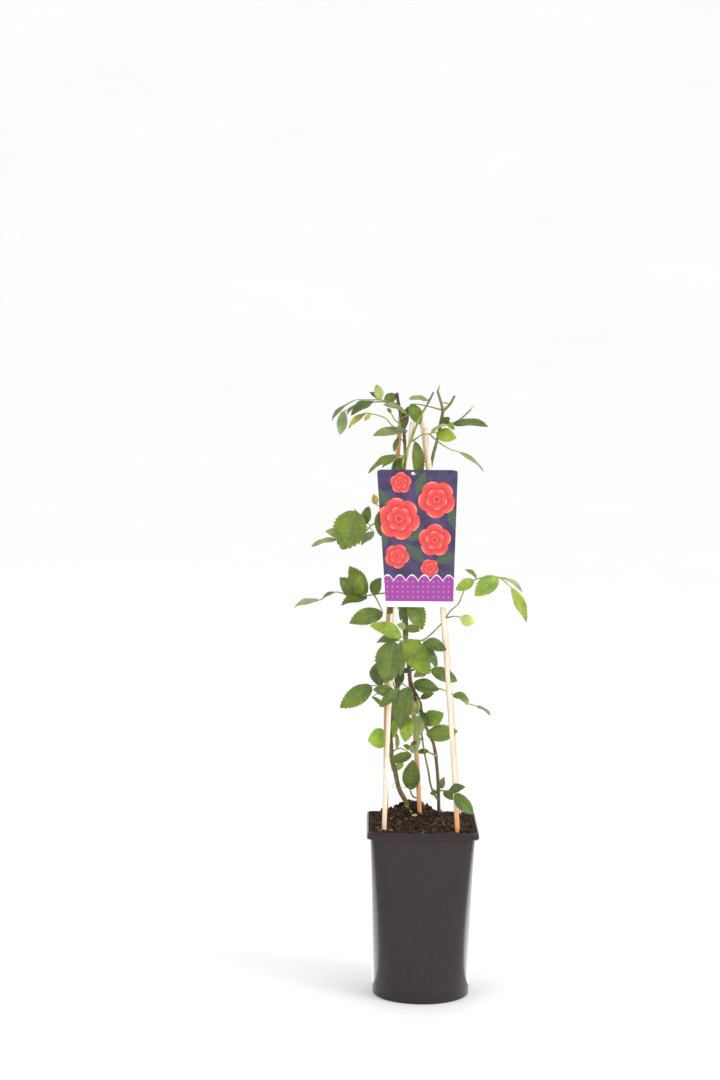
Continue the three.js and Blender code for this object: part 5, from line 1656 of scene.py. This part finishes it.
@dataclass
class Blades:
    """All leaf blades of one stem, worked out together.

    A blade runs from base to tip. At a share s of its length its half width is
    sin(pi * s^0.85)^(0.58 + 0.22 s) of its greatest half width, cut by forward-leaning teeth. It is
    folded up along its rib, arched over its length, drawn down at its veins, waved along its margin,
    swept a little sideways as s (1 - s), and twisted about its rib in step with s.

    Attributes:
        across: Places of the points over the half width, from edge to edge.
        tooth_steps: Where the points of a tooth stand, as shares of its length.
        tooth_cut: How far each of them stands out.
    """

    teeth: int = 11
    thickness: float = 0.42
    fold: float = 0.24
    sweep: float = 0.16
    twist: float = 0.5
    arch: float = 0.07
    veins: float = 7.0
    vein_lean: float = 0.17
    neck: float = 0.45
    tooth: float = 0.13
    tooth_lean: float = 0.4
    lopsided: float = 0.07
    quilt: float = 0.035
    groove: float = 0.02
    wave: float = 0.032
    droop: float = 0.05
    edge_drop: float = 0.1
    thin_edge: float = 0.35
    light: tuple[float, float] = (0.86, 1.14)
    warmth: float = 0.07
    tooth_steps: tuple[float, ...] = (0.0, 0.45, 0.8)
    tooth_cut: tuple[float, ...] = (0.0, 0.6, 1.0)
    across: tuple[float, ...] = (-1.0, -0.82, -0.58, -0.3, -0.07, 0.07, 0.3, 0.58, 0.82, 1.0)

    def normals(self, base: Array, tip: Array, turned: Array) -> Array:
        """Front faces' directions: from the viewer, turned towards the sky about each blade.

        Args:
            base: Where the blades begin.
            tip: Their tips.
            turned: How far each is turned, in degrees.

        Returns:
            One direction for each blade.
        """
        ahead = unit(tip - base)
        front = unit(-Y_AXIS - ahead * -ahead[:, 1:2])
        sky = np.cross(ahead, front)
        sky *= np.where(sky[:, 2:] + 0.001 * sky[:, :1] < 0, -1.0, 1.0)
        angle = np.radians(turned)[:, None]
        return unit(front * np.cos(angle) + sky * np.sin(angle))

    def shell(self, rows: int, columns: int, count: int) -> Array:
        """Faces of the blades' closed shells: an upper and a lower grid joined by a rim.

        Args:
            rows: Rows of one grid.
            columns: Its columns.
            count: How many blades.

        Returns:
            Four point numbers for each face.
        """
        sheet, size = grid_faces(rows, columns, False), rows * columns
        loop = np.concatenate([
            np.arange(columns),
            np.arange(2, rows + 1) * columns - 1,
            (rows - 1) * columns + np.arange(columns - 2, -1, -1),
            np.arange(rows - 2, 0, -1) * columns,
        ])
        after = np.roll(loop, -1)
        rim = np.stack([loop, loop + size, after + size, after], axis=1)
        faces = np.concatenate([sheet, sheet[:, ::-1] + size, rim])
        return (faces[None] + (np.arange(count) * 2 * size)[:, None, None]).reshape(-1, 4)

    def build(self, base: Array, tip: Array, width: Array, normal: Array, tones: list[Tone], seed: int) -> Patch:
        """Builds the blades.

        Args:
            base: Where the blades begin.
            tip: Their tips.
            width: Their greatest widths.
            normal: The directions of their front faces.
            tones: Their colours.
            seed: Starts the small differences between them.

        Returns:
            One patch with a closed shell for each blade.
        """
        rng = np.random.default_rng(seed)
        count = len(base)
        start = np.arange(self.teeth)[:, None] + np.array(self.tooth_steps)[None, :]
        s = np.append(start.ravel() / self.teeth, 1.0)
        saw = np.append(np.tile(self.tooth_cut, self.teeth), 0.0)
        saw = saw * np.clip((s - 0.08) / 0.15, 0, 1) * np.clip((1.02 - s) / 0.1, 0, 1)
        outline = np.sin(math.pi * s**0.85).clip(0, 1) ** (0.58 + 0.22 * s)
        v = np.array(self.across)
        lay = np.stack(np.broadcast_arrays(s[:, None], (v[None] + 1) / 2), axis=-1).reshape(-1, 2)
        size = len(lay)
        faces = self.shell(len(s), len(v), count)
        s, saw, outline, v = s[None, :, None], saw[None, :, None], outline[None, :, None], v[None, None]
        off, width = np.abs(v), width[:, None, None]
        length = np.linalg.norm(tip - base, axis=1)[:, None, None]
        ahead, out = unit(tip - base)[:, None, None], normal[:, None, None]
        side = unit(np.cross(normal, tip - base))[:, None, None]
        lean, turn, uneven, cup = rng.uniform(-1, 1, (4, count, 1, 1))
        half = np.maximum(width / 2 * outline, self.neck)
        reach = v * half * (1 + self.tooth * (saw - 0.45) * off**4) * (1 + self.lopsided * uneven * np.sign(v))
        forward = s + self.tooth_lean / self.teeth * saw * off**4
        aside = self.sweep * lean * length * s * (1 - s)
        phase = rng.uniform(0, FULL_TURN, (count, 1, 1))
        swing = rng.uniform(5.5, 9.5, (count, 1, 1))
        curl = rng.uniform(0.5, 1.5, (count, 1, 1))
        vein = np.abs(np.sin(math.pi * self.veins * (s - self.vein_lean * off)))
        quilt = self.quilt * width * (vein - 0.5) * outline * (1 - v**4)
        groove = -self.groove * width * (off < 0.1) * outline
        wave = self.wave * length * v**2 * np.sin(swing * s + phase + 1.7 * np.sign(v))
        droop = -self.droop * length * curl * np.clip((s - 0.6) / 0.4, 0, 1) ** 2
        lift = self.arch * length * 4 * s * (1 - s)
        lift = lift + self.fold * (1 + 0.8 * cup) * np.abs(reach) ** 1.15 * half.clip(0.5) ** -0.15
        lift = lift - self.edge_drop * (1 + cup) * np.abs(reach) * off**3
        lift = lift + quilt + groove + wave * outline + droop
        roll = self.twist * turn * (s - 0.25)
        across = aside + reach * np.cos(roll) - lift * np.sin(roll)
        lift = reach * np.sin(roll) + lift * np.cos(roll)
        upper = base[:, None, None] + ahead * (forward * length)[..., None] + side * across[..., None]
        upper = upper + out * lift[..., None]
        lower = upper - out * (self.thickness * (1 - self.thin_edge * off[..., None] ** 3))
        points = np.concatenate([upper.reshape(count, -1, 3), lower.reshape(count, -1, 3)], axis=1)
        light = rng.uniform(*self.light, (count, 1))
        light = light + rng.uniform(-self.warmth, self.warmth, (count, 1)) * np.array([[1.0, 0.0, -1.0]])
        shade = np.repeat(np.array([tone.value for tone in tones]) * light[:, None], size, axis=1)
        lay, mask = np.tile(lay, (2 * count, 1)), np.tile(np.repeat([0.0, 1.0], size), count)
        return Patch(points.reshape(-1, 3), [faces], shade.reshape(-1, 3), lay, mask)


@dataclass
class LeafyStem:
    """One stem of the rose with its twigs, thorns, stalks and leaves."""

    node: str
    slot: str
    wood: list[Twig]
    leaves: LeafTable
    fronds: list[Frond]
    seed: int
    sides: int = 12
    golden: float = 2.4
    thorn_sizes: int = 3
    thorn_foot: float = 1.25
    thorn_length: float = 3.6
    stalk: tuple[float, float] = (1.1, 0.65)
    stalk_sides: int = 8
    neck: float = 0.55
    swell: float = 0.22
    swell_reach: float = 3.5
    woody: float = 1.8

    def twig_patches(self, twig: Twig) -> list[Patch]:
        """A twig: a tapering rod that swells a little where leaves leave it, with its thorns.

        Its buried end runs straight down.

        Args:
            twig: The twig.

        Returns:
            Its patches.
        """
        points = place(twig.route)
        length = float(np.linalg.norm(np.diff(points, axis=0), axis=1).sum())
        count = int(np.clip(length / 3, 10, 190))
        if twig.buried > 0:
            points = np.vstack([points[0] - [0, 0, twig.buried], points[0] - [0, 0, 12.0], points])
        path = smooth_path(points, count)
        share = np.linspace(0, 1, count)
        girth = twig.radius[0] + (twig.radius[1] - twig.radius[0]) * share
        starts = place([stalk[0] for stalk, _ in self.leaves.values()] + [frond.root for frond in self.fronds])
        gap = np.linalg.norm(path[:, None] - starts[None], axis=2)
        girth = girth * (1 + self.swell * np.exp(-((gap / self.swell_reach) ** 2)).max(axis=1))
        girth = girth * (1 + 0.03 * np.sin(share * length * 0.21) + 0.02 * np.sin(share * length * 0.57))
        patches = [rod(path, girth, self.sides, along_stations(twig.bark, count))]
        patches[0].side[:] = float(twig.radius[0] > self.woody)
        thorns = twig.thorns * self.thorn_sizes
        for k in range(thorns):
            at = int((0.12 + 0.82 * k / thorns) * (count - 1))
            patches.append(self.thorn(path[at], k * self.golden, girth[at], k))
        return patches

    def thorn(self, root: Array, turn: float, radius: float, number: int) -> Patch:
        """A thorn: a cone on a broad foot, whose tip hooks down.

        Args:
            root: The middle of the stem there.
            turn: The way it points, in radians round the stem.
            radius: The stem's radius there.
            number: Its number along the stem, which sets its size.

        Returns:
            The thorn.
        """
        share = np.linspace(0, 1, 6)
        reach = radius * 0.6 + (self.thorn_length - 1.3 * (number % self.thorn_sizes > 0)) * share
        way = np.array([math.cos(turn), math.sin(turn), 0.0])
        path = root + reach[:, None] * way - Z_AXIS * (1.3 * share**2)[:, None]
        girth = self.thorn_foot * (1 - share) ** 0.8 + 0.06
        return rod(path, girth, self.stalk_sides, along_stations([OLIVE_BARK, RED_BARK], len(share)))

    def stalk_patches(self, path: Array, bases: Array) -> list[Patch]:
        """A leaf's stalk, and a short neck from it to each blade.

        Args:
            path: Points along the stalk.
            bases: Where the blades begin.

        Returns:
            The patches.
        """
        girth = np.linspace(self.stalk[0], self.stalk[1], len(path))
        green = along_stations([STALK_FOOT, STALK_GREEN, STALK_GREEN], len(path))
        patches = [rod(path, girth, self.stalk_sides, green)]
        for base in bases:
            nearest = path[np.argmin(np.linalg.norm(path - base, axis=1))]
            if np.linalg.norm(nearest - base) > 0.4:
                neck = nearest + (base - nearest) * np.linspace(0, 1.15, 5)[:, None]
                patches.append(rod(neck, np.full(5, self.neck), 6, STALK_GREEN))
        return patches

    def frond_layout(self, frond: Frond) -> tuple[Array, Array, Array]:
        """Lays out a leaf at the back: a stalk that sags by a quarter of its length, and three leaflets.

        Args:
            frond: The leaf.

        Returns:
            Its path, and its leaflets' bases and tips.
        """
        turn, climb = math.radians(frond.heading), math.radians(frond.rise)
        ahead = np.array([math.cos(turn) * math.cos(climb), math.sin(turn) * math.cos(climb), math.sin(climb)])
        across = np.array([-math.sin(turn), math.cos(turn), 0.0])
        share = np.append(np.linspace(0, 1, 30), [1.0, 0.72, 0.9])[:, None]
        sag = np.array([0, 0, 0.25 * frond.length]) * share**2
        points = place(frond.root) + ahead * frond.length * share - sag
        path, bases = points[:-3], points[-3:]
        dip = unit(ahead - 0.5 * Z_AXIS)
        ways = np.stack([dip, unit(dip * 0.35 - across), unit(dip * 0.35 + across)])
        return path, bases, bases + ways * frond.leaflet

    def build(self, leaf_finish: bpy.types.Material, bark: bpy.types.Material) -> None:
        """Builds the stem's wood and its foliage.

        Args:
            leaf_finish: Material of the blades.
            bark: Material of stems and stalks.
        """
        wood = [patch for twig in self.wood for patch in self.twig_patches(twig)]
        base, tip, width, normal, tones = [], [], [], [], []
        maker = Blades()
        for route, rows in self.leaves.values():
            numbers = np.array([row[:-1] for row in rows])
            bases, tips = place(numbers[:, :3]), place(numbers[:, 3:6])
            wood.extend(self.stalk_patches(smooth_path(place(route), max(8, 6 * len(route))), bases))
            base.append(bases)
            tip.append(tips)
            width.append(numbers[:, 6])
            normal.append(maker.normals(bases, tips, numbers[:, 7]))
            tones.extend(row[-1] for row in rows)
        for frond in self.fronds:
            path, bases, tips = self.frond_layout(frond)
            wood.extend(self.stalk_patches(path, bases))
            ways = unit(tips - bases)
            base.append(bases)
            tip.append(tips)
            width.append(np.full(3, frond.leaflet * 0.62))
            normal.append(unit(Z_AXIS - ways * ways[:, 2:]))
            tones.extend([MATURE, DARK, MATURE])
        patch = maker.build(*map(np.concatenate, (base, tip, width, normal)), tones, self.seed)
        LOG.info("%s: %s, %d blades", self.node, ", ".join(twig.name for twig in self.wood), len(tones))
        stems = make_piece(self.node + "_wood", Patch.join(wood), bark, sharp=60.0)
        blades = make_piece(self.node + "_blades", patch, leaf_finish, sharp=58.0)
        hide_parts(self.node)
        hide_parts(self.node)


@dataclass(frozen=True)
class Lamp:
    """A rectangle of light: where it is and what it faces in metres, its sides, and its power in watts."""

    name: str
    spot: Point
    aim: Point
    size: tuple[float, float]
    power: float
    only_gloss: bool = False


def stand(right: Array, up: Array, back: Array, spot: Point) -> Matrix:
    """The world matrix of a thing with these directions and this place."""
    return Matrix([*np.column_stack([right, up, back, spot]).tolist(), [0.0, 0.0, 0.0, 1.0]])


PLANT = (0.0, 0.0, 0.42)


@dataclass
class Studio:
    """Floor, soft light and camera, in metres."""

    eye: Point = (-0.080, -3.134, 0.868)
    pitch: float = 5.45
    roll: float = 0.44
    lens: float = 85.0
    flat: float = 6.0
    bowl: float = 0.02
    around: int = 96
    lamps: tuple[Lamp, ...] = (
        Lamp("key_lamp", (2.1, -1.5, 1.5), PLANT, (1.5, 1.5), 34.0),
        Lamp("fill_lamp", (-1.6, -2.2, 1.8), PLANT, (1.4, 1.4), 9.0),
        Lamp("right_sheet", (0.25, 0.44, 0.003), (0.25, 0.45, 1.0), (0.6, 0.86), 6.0, True),
        Lamp("left_sheet", (-0.25, 0.44, 0.003), (-0.25, 0.45, 1.0), (0.6, 0.86), 3.0, True),
    )

    def build(self, effects: Effects) -> None:
        """Sets the camera, the lights and the floor, flat at first and then rising with the distance squared.

        Args:
            effects: The shared effects.
        """
        self.camera()
        self.lights()
        reach = np.concatenate([[0.01, 1.0, 3.0], np.linspace(self.flat, 40.0, 60)])
        rise = self.bowl * np.maximum(reach - self.flat, 0.0) ** 2
        rings = polar(reach[:, None], circle(self.around), rise[:, None])
        sheet = grid_faces(len(reach), self.around, True).tolist()
        mesh = bpy.data.meshes.new("studio_floor")
        mesh.from_pydata(rings.reshape(-1, 3).tolist(), [], [*sheet, list(range(self.around - 1, -1, -1))])
        mesh.flip_normals()
        mesh.shade_smooth()
        mesh.materials.append(FloorFinish().build(effects))
        add_object("studio_floor", mesh)

    def camera(self) -> None:
        """Places the camera where the photograph was taken from, tilted down and slightly rolled."""
        tilt, lean = math.radians(self.pitch), math.radians(self.roll)
        up = np.array([0.0, math.sin(tilt), math.cos(tilt)])
        back = np.array([0.0, -math.cos(tilt), math.sin(tilt)])
        right, up = X_AXIS * math.cos(lean) + up * math.sin(lean), up * math.cos(lean) - X_AXIS * math.sin(lean)
        data = bpy.data.cameras.new("camera")
        data.lens, data.sensor_width, data.sensor_fit = self.lens, 36.0, "AUTO"
        camera = add_object("camera", data)
        camera.matrix_world = stand(right, up, back, self.eye)
        bpy.context.scene.camera = camera

    def lights(self) -> None:
        """Lights the white room, hangs two soft lamps, and lays two sheets that only show in gloss."""
        scene = bpy.context.scene
        scene.view_settings.view_transform = "Standard"
        world = bpy.data.worlds.new("white_room")
        world.use_nodes = True
        room = world.node_tree.nodes["Background"].inputs
        room["Color"].default_value, room["Strength"].default_value = (1.0, 1.0, 1.0, 1.0), 1.0
        scene.world = world
        for lamp in self.lamps:
            data = bpy.data.lights.new(lamp.name, "AREA")
            data.shape, data.energy = "RECTANGLE", lamp.power
            data.size, data.size_y = lamp.size
            made = add_object(lamp.name, data)
            made.visible_camera = made.visible_diffuse = not lamp.only_gloss
            back = unit(np.array(lamp.spot) - np.array(lamp.aim))
            side = unit(np.cross(Z_AXIS, back))
            made.matrix_world = stand(side, np.cross(back, side), back, lamp.spot)


def main() -> None:
    """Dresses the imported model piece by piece."""
    logging.basicConfig(level=logging.INFO, format="%(name)s: %(message)s")
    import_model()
    effects = Effects()
    pot = NurseryPot()
    for assembly in (Studio(), pot, Compost(pot), Canes(), PictureCard()):
        assembly.build(effects)
    leaf_finish, bark = LeafFinish().build(effects), BarkFinish().build(effects)
    for stem in (
        LeafyStem("rose_stem_right", "stem_right", RIGHT_WOOD, RIGHT_LEAVES, RIGHT_FRONDS, 21),
        LeafyStem("rose_stem_left", "stem_left", LEFT_WOOD, LEFT_LEAVES, LEFT_FRONDS, 22),
        LeafyStem("basal_shoot", "shoot", BASAL_WOOD, BASAL_LEAVES, [], 23),
    ):
        stem.build(leaf_finish, bark)
    bpy.context.view_layer.update()


if __name__ == "__main__":
    main()
